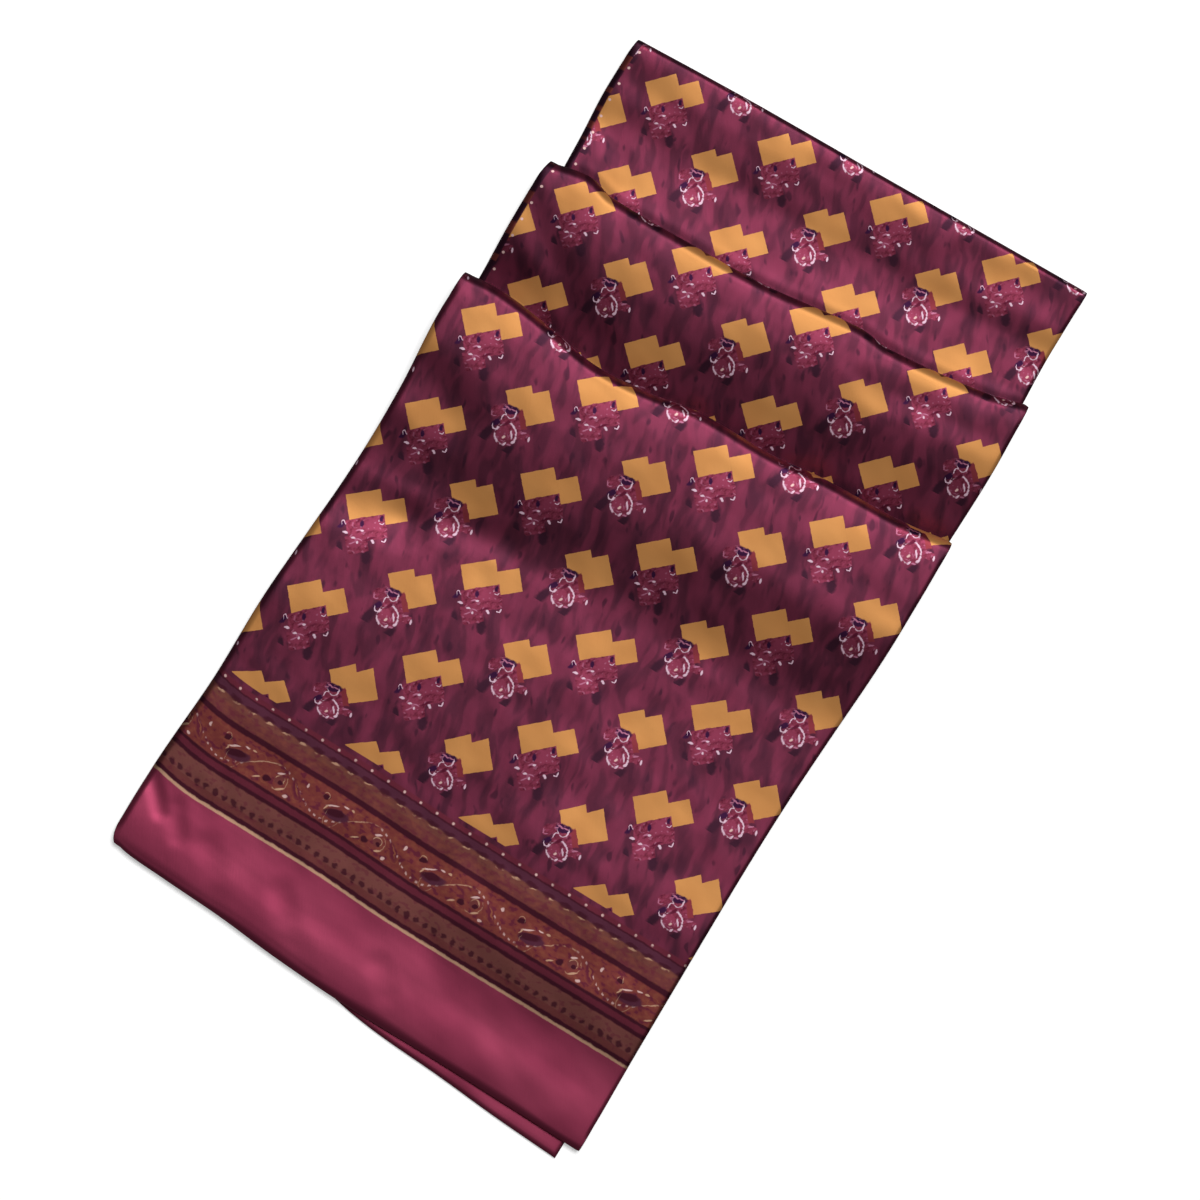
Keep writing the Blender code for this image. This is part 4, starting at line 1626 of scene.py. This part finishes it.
@dataclass(frozen=True)
class Satin:
    """What every silk finish shares: its gloss, its weave and its small ripples."""
    name: str
    roughness: float = 0.50
    metallic: float = 0.90
    specular: float = 0.12
    relief: float = 0.5
    relief_depth: float = 0.7       # height of the weave's bump, in millimetres
    ripples: float = 0.7            # height of the slow ripples against it

    def start(self) -> tuple[bpy.types.Material, Draft, bpy.types.Node, Signal]:
        """Make the material and read the print map, in millimetres.

        Returns:
            The material, its draft, its shader and the place on the print.
        """
        material = bpy.data.materials.new(self.name)
        material.use_nodes = True
        draft = Draft(material.node_tree)
        shader = material.node_tree.nodes["Principled BSDF"]
        shader.inputs["Roughness"].default_value = self.roughness
        shader.inputs["Metallic"].default_value = self.metallic
        shader.inputs["Specular IOR Level"].default_value = self.specular
        print_map = Signal(draft, draft.node("UVMap", uv_map=PRINT_UV).outputs["UV"])
        return material, draft, shader, draft.settle(print_map, size=(MM, MM))

    def add_relief(self, draft: Draft, shader: bpy.types.Node, place: Signal) -> None:
        """Feed the weave and the small ripples to the shader's normal.

        Args:
            draft: Where the nodes go.
            shader: The finish's shader.
            place: The place, as a vector.
        """
        bump = draft.node("Bump")
        bump.inputs["Strength"].default_value = self.relief
        bump.inputs["Distance"].default_value = self.relief_depth * MM
        draft.feed(bump.inputs["Height"], draft.group(WEAVE, Place=place, Ripples=self.ripples)["Height"])
        draft.tree.links.new(bump.outputs["Normal"], shader.inputs["Normal"])


@dataclass(frozen=True)
class PlainSilk(Satin):
    """Unprinted burgundy satin."""
    name: str = "plain_satin_looks"
    roughness: float = 0.46
    ripples: float = 0.3
    clouds: Grain = Grain((0.0, 0.0), 0.0, (40.0, 20.0), 0.0)
    cloud_span: tuple[float, float] = (0.35, 0.65)

    def paint(self, draft: Draft, place: Signal) -> Signal:
        """Vary the satin slowly between its two inks."""
        slow = draft.noise(place, self.clouds)
        return draft.mix(draft.ramp(slow, *self.cloud_span), Ink.SATIN_DEEP.rgba, Ink.SATIN.rgba)

    def build(self) -> bpy.types.Material:
        """Make the finish.

        Returns:
            The finish's material.
        """
        material, draft, shader, place = self.start()
        draft.feed(shader.inputs["Base Color"], self.paint(draft, place))
        self.add_relief(draft, shader, place)
        return material


PLAIN = PlainSilk()


@dataclass(frozen=True)
class BrushedSilk(Satin):
    """The printed ground alone, for the hidden plies whose folded edges show."""
    name: str = "hidden_silk_looks"

    def build(self) -> bpy.types.Material:
        """Paint the brushed ground.

        Returns:
            The finish's material.
        """
        material, draft, shader, place = self.start()
        draft.feed(shader.inputs["Base Color"], draft.group(BRUSHWORK, Place=place)["Colour"])
        self.add_relief(draft, shader, place)
        return material


@dataclass(frozen=True)
class FieldSilk(Satin):
    """The printed field: squares and roses on a brushed ground."""
    name: str = "printed_field_looks"
    pitch: tuple[float, float] = (63.5, 51.0)
    squares_origin: tuple[float, float] = (-43.0, 29.9)
    roses_origin: tuple[float, float] = (-6.3, 6.9)
    motif_turn: float = 42.4
    squares_middle: tuple[float, float] = (-1.0, -5.0)
    roses_middle: tuple[float, float] = (-8.0, -5.0)
    print_edge: float = DOTTED_LINE + 2.9
    gold_metallic: float = 0.50             # the pale inks cover the satin more
    opaque_green: tuple[float, float] = (0.08, 0.22)
    fray: float = 1.1                       # how far the strokes' outlines wander
    true_share: float = 0.3                 # and how much of that the gold squares take
    fray_across: Grain = Grain((3.0, 40.0), 0.0, (2.1, 2.1))
    fray_along: Grain = Grain((50.0, 11.0), 0.0, (2.3, 2.3))
    spark: Grain = Grain((20.0, 31.0), 0.0, (2.0, 1.5), 0.0)
    mottle: Grain = Grain((9.0, 77.0), 15.0, (2.3, 1.7), 2.0, 0.6)
    patch_rose: Fleck = Fleck(0.52, 0.12)
    patch_wine: Fleck = Fleck(0.34, 0.08)
    pale_flecks: Fleck = Fleck(0.74, 0.04, 0.4)
    stroke_break: tuple[float, float] = (0.22, 0.44)    # levels of the spark that thin a stroke
    gold_soft: float = 0.12                 # width of the soft border of a gold square,
    brick_soft: float = 0.3                 # of a brick one
    wine_soft: float = 0.25                 # and of a wine patch
    print_soft: float = 0.15
    hem: Grain = Grain((0.0, 0.0), 0.0, (9.0, 9.0))
    hem_row: float = 27.0                   # the hem reads its noise along this line
    hem_rust: Fleck = Fleck(0.55, 0.04)
    hem_width: float = 3.3                  # the side margin's dark hem
    hem_soft: float = 0.3
    hem_dots: float = 4.4                   # its row of dots, from the edge
    dot_rim: tuple[float, float] = (0.85, 0.5)      # radii of a dot's soft rim

    def cell(self, draft: Draft, place: Signal, origin: tuple[float, float]) -> Signal:
        """Find the place in a motif's own cell, on the motif's axes.

        Args:
            draft: Where the nodes go.
            place: The place, as a vector.
            origin: The centre of one of these cells.

        Returns:
            The place from the cell's centre, on the motif's axes.
        """
        from_origin = draft.vector_math("SUBTRACT", place, (*origin, 0.0))
        half_u, half_v = self.pitch[0] / 2, self.pitch[1] / 2
        wrapped = draft.vector_math("WRAP", from_origin, (half_u, half_v, 1.0), (-half_u, -half_v, -1.0))
        return draft.settle(wrapped, turn=self.motif_turn)

    def paint_motif(self, draft: Draft, under: Signal, motif: Motif, places: tuple[Signal, Signal],
                    tone: Signal, spark: Signal, patch: Signal) -> Signal:
        """Paint one motif: its gold squares, its wine patch, and its strokes.

        Args:
            draft: Where the nodes go.
            under: The ground's colour.
            motif: What to paint.
            places: The place on the motif's axes, nearly true and well frayed.
            tone: Slow change of the gold's tone.
            spark: A fine noise that breaks the strokes up.
            patch: The mottled colour of the wine patches.

        Returns:
            The colour with the motif on it.
        """
        true, frayed = places
        colour = lay_dabs(draft, frayed, under, motif.under_dabs)
        gold = draft.mix(tone, Ink.GOLD_SHADE.rgba, Ink.GOLD.rgba)
        colour = draft.mix(lay_boxes(draft, true, motif.golds, self.gold_soft), colour, gold)
        if motif.bricks:
            brick = lay_boxes(draft, frayed, motif.bricks, self.brick_soft)
            colour = draft.mix(brick, colour, Ink.BRICK.rgba)
        wine = lay_boxes(draft, frayed, motif.wines, self.wine_soft)
        for dab in motif.rounds:
            wine = wine.high(lay_oval(draft, frayed, dab))
        colour = draft.mix(wine, colour, patch)
        colour = lay_dabs(draft, frayed, colour, motif.dabs)
        colour = draft.mix(spark.over(self.pale_flecks) * wine, colour, Ink.PETAL.rgba)
        strength = draft.ramp(spark, *self.stroke_break)
        return lay_curls(draft, frayed, colour, motif.curls, strength)

    def paint_margin(self, draft: Draft, colour: Signal, place: Signal) -> Signal:
        """Paint the narrow side margin that shows at the left of the two tiers behind.

        Args:
            draft: Where the nodes go.
            colour: What lies beneath.
            place: The place, as a vector.

        Returns:
            The colour with the margin on it.
        """
        attribute = draft.node("Attribute", attribute_name=MARGIN)
        from_edge = Signal(draft, attribute.outputs["Fac"])
        _, v = draft.split(place)
        noise = draft.noise(draft.vector(v, self.hem_row), self.hem)
        dark = draft.mix(noise.over(self.hem_rust), Ink.AUBERGINE.rgba, Ink.RUST.rgba)
        hem = draft.ramp(from_edge, self.hem_width + self.hem_soft, self.hem_width - self.hem_soft)
        colour = draft.mix(hem, colour, dark)
        dots = draft.distance(draft.vector(v.wrap(DOT_PITCH), from_edge), (0.0, self.hem_dots))
        return draft.mix(draft.ramp(dots, *self.dot_rim), colour, Ink.CREAM.rgba)

    def build(self) -> bpy.types.Material:
        """Paint the whole field.

        Returns:
            The finish's material.
        """
        material, draft, shader, place = self.start()
        ground = draft.group(BRUSHWORK, Place=place)
        squares = self.cell(draft, place, self.squares_origin)
        roses = self.cell(draft, place, self.roses_origin)
        nearer = draft.math("LESS_THAN", draft.distance(roses, self.roses_middle),
                            draft.distance(squares, self.squares_middle))
        here = draft.mix(nearer, squares, roses)
        shift = draft.vector(
            draft.noise(here, self.fray_across) - 0.5, draft.noise(here, self.fray_along) - 0.5,
        )
        places = tuple(
            draft.vector_math("MULTIPLY_ADD", shift, (amount, amount, 0.0), here)
            for amount in (self.fray * self.true_share, self.fray)
        )
        spark, mottle = draft.noise(here, self.spark), draft.noise(here, self.mottle)
        patch = draft.mix(mottle.over(self.patch_rose), Ink.WINE.rgba, Ink.ROSE.rgba)
        patch = draft.mix(mottle.over(self.patch_wine), Ink.WINE_DARK.rgba, patch)
        paint = (places, ground["Tone"], spark, patch)
        first = self.paint_motif(draft, ground["Colour"], SQUARES, *paint)
        second = self.paint_motif(draft, ground["Colour"], ROSES, *paint)
        _, v = draft.split(place)
        colour = draft.mix(nearer, first, second)
        colour = draft.mix(v.above(self.print_edge, self.print_soft), ground["Colour"], colour)
        colour = self.paint_margin(draft, colour, place)
        draft.feed(shader.inputs["Base Color"], colour)
        _, green = draft.split(colour)
        opaque = draft.ramp(green, *self.opaque_green)
        draft.feed(shader.inputs["Metallic"], self.metallic + opaque * (self.gold_metallic - self.metallic))
        self.add_relief(draft, shader, place)
        return material


@dataclass(frozen=True)
class BorderSilk(Satin):
    """The border across the end: leafy, scrolled and dotted bands, then plain satin."""
    name: str = "printed_border_looks"
    repeat: float = 54.4                        # of the scroll, across
    first_scroll: float = 10.3
    scroll_middle: float = 11.0
    scroll_level: float = 27.6                  # the scroll's axis, past the dotted line
    leaf_band: tuple[float, float, float] = (11.4, 4.2, 0.6)        # centre, reach, softness
    scroll_band: tuple[float, float, float] = (26.6, 8.3, 0.3)
    dotted_band: tuple[float, float, float] = (47.4, 5.8, 0.5)
    leaf_light: Fleck = Fleck(0.60, 0.12, 0.3)
    leaf_dark: Fleck = Fleck(0.40, 0.08, 0.6)
    leaf_shift: float = 0.5
    leaf_sway: tuple[float, float] = (3.0, 1.6)     # how far the noise shifts it across and along
    leaf_shade: DabMark = DabMark(-0.6, 6.0, 3.2, 1.1, -7, 0.8, Ink.DARK)
    leaf_edge: DabMark = DabMark(0.6, 7.4, 2.0, 0.45, -9, 0.8, Ink.TAN)
    leaf_share: float = 0.8
    leaf_break: tuple[float, float] = (0.35, 0.6)   # levels of the noise that thin a stroke
    scroll_light: Fleck = Fleck(0.62, 0.14, 0.5)
    scroll_dark: Fleck = Fleck(0.38, 0.08)
    scroll_sway: float = 1.6
    scroll_share: float = 0.85
    scroll_break: tuple[float, float] = (0.32, 0.56)
    vine_swing: float = 6.0
    vine_start: float = 7.0
    vine_begins: tuple[float, float] = (3.0, 8.0)   # the drawn line fades in and out here
    vine_ends: tuple[float, float] = (25.0, 19.0)
    vine_line: tuple[float, float] = (0.30, 0.25)   # half width and softness
    vine_beads: tuple[float, float] = (0.45, 0.30)
    bead_pitch: float = 3.1
    bead_cut: Fleck = Fleck(0.3, 0.4)
    brown_light: Fleck = Fleck(0.60, 0.10, 0.25)
    brown_dark: Fleck = Fleck(0.38, 0.09, 0.5)
    brown_dots: tuple[float, float] = (5.1, 48.9)   # pitch, place past the line
    brown_sway: tuple[float, float] = (2.4, 3.4)
    brown_rim: tuple[float, float] = (2.0, 0.9)
    brown_share: float = 0.85
    plain_start: float = 57.3
    plain_soft: float = 0.25
    ground_end: tuple[float, float] = (-0.6, 0.5)   # its place past the line, and its softness
    dots_past: float = 0.8
    dots_shift: float = 3.5
    dots_rim: tuple[float, float] = (0.95, 0.35)
    dots_break: tuple[float, float] = (0.20, 0.55)
    mottle: Grain = Grain((4.0, 1.0), 0.0, (4.0, 2.6), 1.5, 0.55)
    bands_reach: float = 60.0                   # the stripes' ramp ends here
    bands_soft: float = 0.30
    bands_sway: float = 0.9

    def stripes(self, draft: Draft, past: Signal) -> Signal:
        """Colour the bands by the distance past the dotted line.

        Args:
            draft: Where the nodes go.
            past: The distance past the dotted line.

        Returns:
            The bands' plain colours.
        """
        ramp = draft.node("ValToRGB")
        elements = ramp.color_ramp.elements
        reach, soft = self.bands_reach, self.bands_soft
        elements.remove(elements[1])
        elements[0].position, elements[0].color = 0.0, BORDER_BANDS[0].ink.rgba
        for before, band in zip(BORDER_BANDS, BORDER_BANDS[1:]):
            elements.new((band.start - soft) / reach).color = before.ink.rgba
            elements.new((band.start + soft) / reach).color = band.ink.rgba
        draft.feed(ramp.inputs[0], past / reach)
        return Signal(draft, ramp.outputs[0])

    def paint_leaf_band(self, draft: Draft, bands: Signal, u: Signal, past: Signal,
                        mottle: Signal) -> Signal:
        """Mottle the narrow leafy band and edge it with tan strokes over dark dabs.

        Args:
            draft: Where the nodes go.
            bands: The colours beneath.
            u: The print's place across, in millimetres.
            past: The distance past the dotted line.
            mottle: The fine noise that breaks the inks up.

        Returns:
            The colours with this band on them.
        """
        inside = past.near(*self.leaf_band)
        bands = draft.mix(mottle.over(self.leaf_light) * inside, bands, Ink.AMBER.rgba)
        bands = draft.mix(mottle.under(self.leaf_dark) * inside, bands, Ink.STRIPE.rgba)
        across, along = self.leaf_sway
        level = past + (mottle - 0.5) * along
        place = draft.vector((u + self.leaf_shift + mottle * across).wrap(DOT_PITCH), level)
        shade, edge = (lay_oval(draft, place, dab) for dab in (self.leaf_shade, self.leaf_edge))
        bands = draft.mix(shade * self.leaf_share, bands, self.leaf_shade.ink.rgba)
        edge = edge * draft.ramp(mottle, *self.leaf_break)
        return draft.mix(edge * self.leaf_share, bands, self.leaf_edge.ink.rgba)

    def paint_scroll_band(self, draft: Draft, bands: Signal, u: Signal, past: Signal,
                          mottle: Signal) -> Signal:
        """Paint the wide band: a dark paisley, a curled flower, a leaf, and a beaded vine.

        Args:
            draft: Where the nodes go.
            bands: The colours beneath.
            u: The print's place across, in millimetres.
            past: The distance past the dotted line.
            mottle: The fine noise that breaks the inks up.

        Returns:
            The colours with this band on them.
        """
        strength = draft.ramp(mottle, *self.scroll_break) * self.scroll_share
        colour = draft.mix(mottle.over(self.scroll_light), bands, Ink.AMBER.rgba)
        colour = draft.mix(mottle.over(self.scroll_dark), Ink.STRIPE.rgba, colour)
        a = (u - self.first_scroll - self.scroll_middle).wrap(self.repeat) + self.scroll_middle
        b = self.scroll_level - past
        wobble = (mottle - 0.5) * self.scroll_sway
        swing = ((a - self.vine_start) * (math.tau / self.repeat)).sine()
        vine = b + wobble - self.vine_swing * swing
        drawn = draft.ramp(a, *self.vine_begins) * draft.ramp(a, *self.vine_ends)
        beads = (a * (math.tau / self.bead_pitch)).sine().over(self.bead_cut)
        line = vine.near(0.0, *self.vine_line) * drawn
        beaded = vine.near(0.0, *self.vine_beads) * (1.0 - drawn) * beads
        colour = draft.mix(line * strength, colour, Ink.TAN.rgba)
        colour = draft.mix(beaded * strength, colour, Ink.CREAM.rgba)
        place = draft.vector(a + wobble, b + wobble)
        colour = lay_dabs(draft, place, colour, SCROLL_DABS)
        colour = lay_curls(draft, place, colour, SCROLL_CURLS, strength)
        return draft.mix(past.near(*self.scroll_band), bands, colour)

    def paint_dotted_band(self, draft: Draft, bands: Signal, u: Signal, past: Signal,
                          mottle: Signal) -> Signal:
        """Mottle the lower brown band, with a row of uneven dark dots.

        Args:
            draft: Where the nodes go.
            bands: The colours beneath.
            u: The print's place across, in millimetres.
            past: The distance past the dotted line.
            mottle: The fine noise that breaks the inks up.

        Returns:
            The colours with this band on them.
        """
        inside, (pitch, level) = past.near(*self.dotted_band), self.brown_dots
        colour = draft.mix(mottle.over(self.brown_light), bands, Ink.OLIVE.rgba)
        colour = draft.mix(mottle.under(self.brown_dark), colour, Ink.STRIPE.rgba)
        across, along = self.brown_sway
        row = draft.vector((u + mottle * across).wrap(pitch), past + (mottle - 0.5) * along)
        dots = draft.ramp(draft.distance(row, (0.0, level)), *self.brown_rim)
        colour = draft.mix(dots * self.brown_share, colour, Ink.DARK.rgba)
        return draft.mix(inside, bands, colour)

    def build(self) -> bpy.types.Material:
        """Paint the ground above the dotted line, the bands and the plain satin below them.

        Returns:
            The finish's material.
        """
        material, draft, shader, place = self.start()
        u, v = draft.split(place)
        past = DOTTED_LINE - v
        mottle = draft.noise(place, self.mottle)
        bands = self.stripes(draft, past + (mottle - 0.5) * self.bands_sway)
        bands = self.paint_leaf_band(draft, bands, u, past, mottle)
        bands = self.paint_scroll_band(draft, bands, u, past, mottle)
        bands = self.paint_dotted_band(draft, bands, u, past, mottle)
        ground = draft.group(BRUSHWORK, Place=place)["Colour"]
        colour = draft.mix(past.above(*self.ground_end), ground, bands)
        row = draft.vector((u + self.dots_shift).wrap(DOT_PITCH), past)
        dots = draft.ramp(draft.distance(row, (0.0, self.dots_past)), *self.dots_rim)
        colour = draft.mix(dots * draft.ramp(mottle, *self.dots_break), colour, Ink.CREAM.rgba)
        plain = past.above(self.plain_start, self.plain_soft)
        draft.feed(shader.inputs["Base Color"], draft.mix(plain, colour, PLAIN.paint(draft, place)))
        draft.feed(shader.inputs["Roughness"], self.roughness + plain * (PLAIN.roughness - self.roughness))
        self.add_relief(draft, shader, place)
        return material


# ----------------------------------------------------------------------- studio

class Lamp(NamedTuple):
    """A square soft light: its place, its size and its power in watts."""
    name: str
    place: tuple[float, float, float]
    size: float
    power: float


@dataclass(frozen=True)
class Studio:
    """A plain pale floor, soft light from beyond the far fold, and the camera overhead."""
    floor_size: float = 4.0
    floor_drop: float = 0.0004
    floor_white: float = 0.93       # how pale the floor looks to the camera
    floor_bounce: float = 0.18      # and what it throws back at the scarf
    floor_glow: float = 0.46
    floor_roughness: float = 0.9
    floor_specular: float = 0.1
    view_width: float = 0.5652
    view_distance: float = 1.5
    view_height: float = 0.01
    view_centre: tuple[float, float] = (0.0058, -0.0034)
    view_turn: float = math.atan2(0.521, 0.853)
    sensor: float = 36.0
    world_strength: float = 0.06
    backdrop: float = 0.9
    lamp: Lamp = Lamp("key_light", (0.10, 1.06, 2.9), 1.0, 68.0)

    def build_floor(self) -> bpy.types.Object:
        """Lay the floor, pale to the eye and a little darker in what it throws back.

        Returns:
            The floor.
        """
        sheet = bmesh.new()
        half = self.floor_size / 2 / MM
        bmesh.ops.create_grid(sheet, x_segments=1, y_segments=1, size=half)
        bmesh.ops.translate(sheet, vec=Vector((0.0, 0.0, -self.floor_drop / MM)), verts=sheet.verts)
        floor = add_object("floor", sheet)
        material = bpy.data.materials.new("pale_floor_looks")
        material.use_nodes = True
        draft = Draft(material.node_tree)
        shader = material.node_tree.nodes["Principled BSDF"]
        seen = Signal(draft, draft.node("LightPath").outputs["Is Camera Ray"])
        bounce, white = (*[self.floor_bounce] * 3, 1.0), (*[self.floor_white] * 3, 1.0)
        draft.feed(shader.inputs["Base Color"], draft.mix(seen, bounce, white))
        draft.feed(shader.inputs["Emission Strength"], seen * self.floor_glow)
        shader.inputs["Emission Color"].default_value = (1.0, 1.0, 1.0, 1.0)
        shader.inputs["Roughness"].default_value = self.floor_roughness
        shader.inputs["Specular IOR Level"].default_value = self.floor_specular
        floor.data.materials.append(material)
        return floor

    def hang(self, lamp: Lamp) -> None:
        """Hang a lamp that looks at the scarf.

        Args:
            lamp: The lamp.
        """
        light = bpy.data.lights.new(lamp.name, "AREA")
        light.shape, light.size, light.energy = "SQUARE", lamp.size, lamp.power
        holder = bpy.data.objects.new(lamp.name, light)
        holder.location = lamp.place
        holder.rotation_euler = (-Vector(lamp.place)).to_track_quat("-Z", "Y").to_euler()
        bpy.context.scene.collection.objects.link(holder)

    def build(self) -> bpy.types.Object:
        """Set up the lamp, the world, the camera and the floor.

        Returns:
            The floor.
        """
        scene = bpy.context.scene
        scene.view_settings.view_transform = "Standard"
        self.hang(self.lamp)
        world = bpy.data.worlds.new("studio")
        world.use_nodes = True
        draft = Draft(world.node_tree)
        background = world.node_tree.nodes["Background"]
        background.inputs["Color"].default_value = (1.0, 1.0, 1.0, 1.0)
        seen = Signal(draft, draft.node("LightPath").outputs["Is Camera Ray"])
        draft.feed(background.inputs["Strength"], seen * self.backdrop + self.world_strength)
        scene.world = world
        camera = bpy.data.objects.new("camera", bpy.data.cameras.new("camera"))
        camera.data.sensor_width = self.sensor
        camera.data.lens = self.sensor * self.view_distance / self.view_width
        camera.location = (*self.view_centre, self.view_height + self.view_distance)
        camera.rotation_euler = (0.0, 0.0, self.view_turn)
        scene.collection.objects.link(camera)
        scene.camera = camera
        return self.build_floor()


# ------------------------------------------------------------------------- main

class Piece(NamedTuple):
    """How a piece is dressed, which CAD part it hides, and its slot, flat and resting place."""
    model: bpy.types.Object
    finishes: tuple[bpy.types.Material, ...]
    slot: str
    node: str
    flat: tuple[float, float]
    rests_on: str


def spread_finishes(piece: bpy.types.Object) -> None:
    """Give the border's faces and the plain band's faces their own finishes.

    Args:
        piece: The stretch with the free end.
    """
    prints = piece.data.uv_layers[PRINT_UV].data
    for face in piece.data.polygons:
        v = sum(prints[corner].uv.y for corner in face.loop_indices) / face.loop_total / MM
        if v < PLAIN_FACES:
            face.material_index = 2
        elif v < BORDER_FACES:
            face.material_index = 1


def fit_piece(piece: Piece) -> None:
    """Args:
        piece: The piece, with its finishes and what is said of it.
    """
    for finish in piece.finishes:
        piece.model.data.materials.append(finish)
    if len(piece.finishes) > 1:
        spread_finishes(piece.model)
    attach(piece.model, BODY)
    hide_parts(piece.node)
    LOG.info("%s: %d faces", piece.model.name, len(piece.model.data.polygons))


def main() -> None:
    """Build the scarf's pieces in order, from the ground up, and dress them."""
    logging.basicConfig(level=logging.INFO, format="%(name)s %(message)s")
    Studio().build()
    field, border, plain = FieldSilk().build(), BorderSilk().build(), PLAIN.build()
    hidden, plies = BrushedSilk().build(), HiddenPlies().name
    for piece in (
        Piece(OtherEnd().build(), (plain,), "plain_satin", "under_end", (0.247, 0.030), "floor"),
        Piece(HiddenPlies().build(), (hidden,), "hidden_silk", "hidden_layers", (0.26, 0.95), "floor"),
        Piece(BACK.build(), (field,), "printed_silk", BACK.name, (0.255, 0.085), plies),
        Piece(MIDDLE.build(), (field,), "printed_silk", MIDDLE.name, (0.265, 0.085), plies),
        Piece(FRONT.build(), (field, border, plain), "printed_silk", FRONT.name, (0.275, 0.345), plies),
    ):
        fit_piece(piece)


if __name__ == "__main__":
    main()
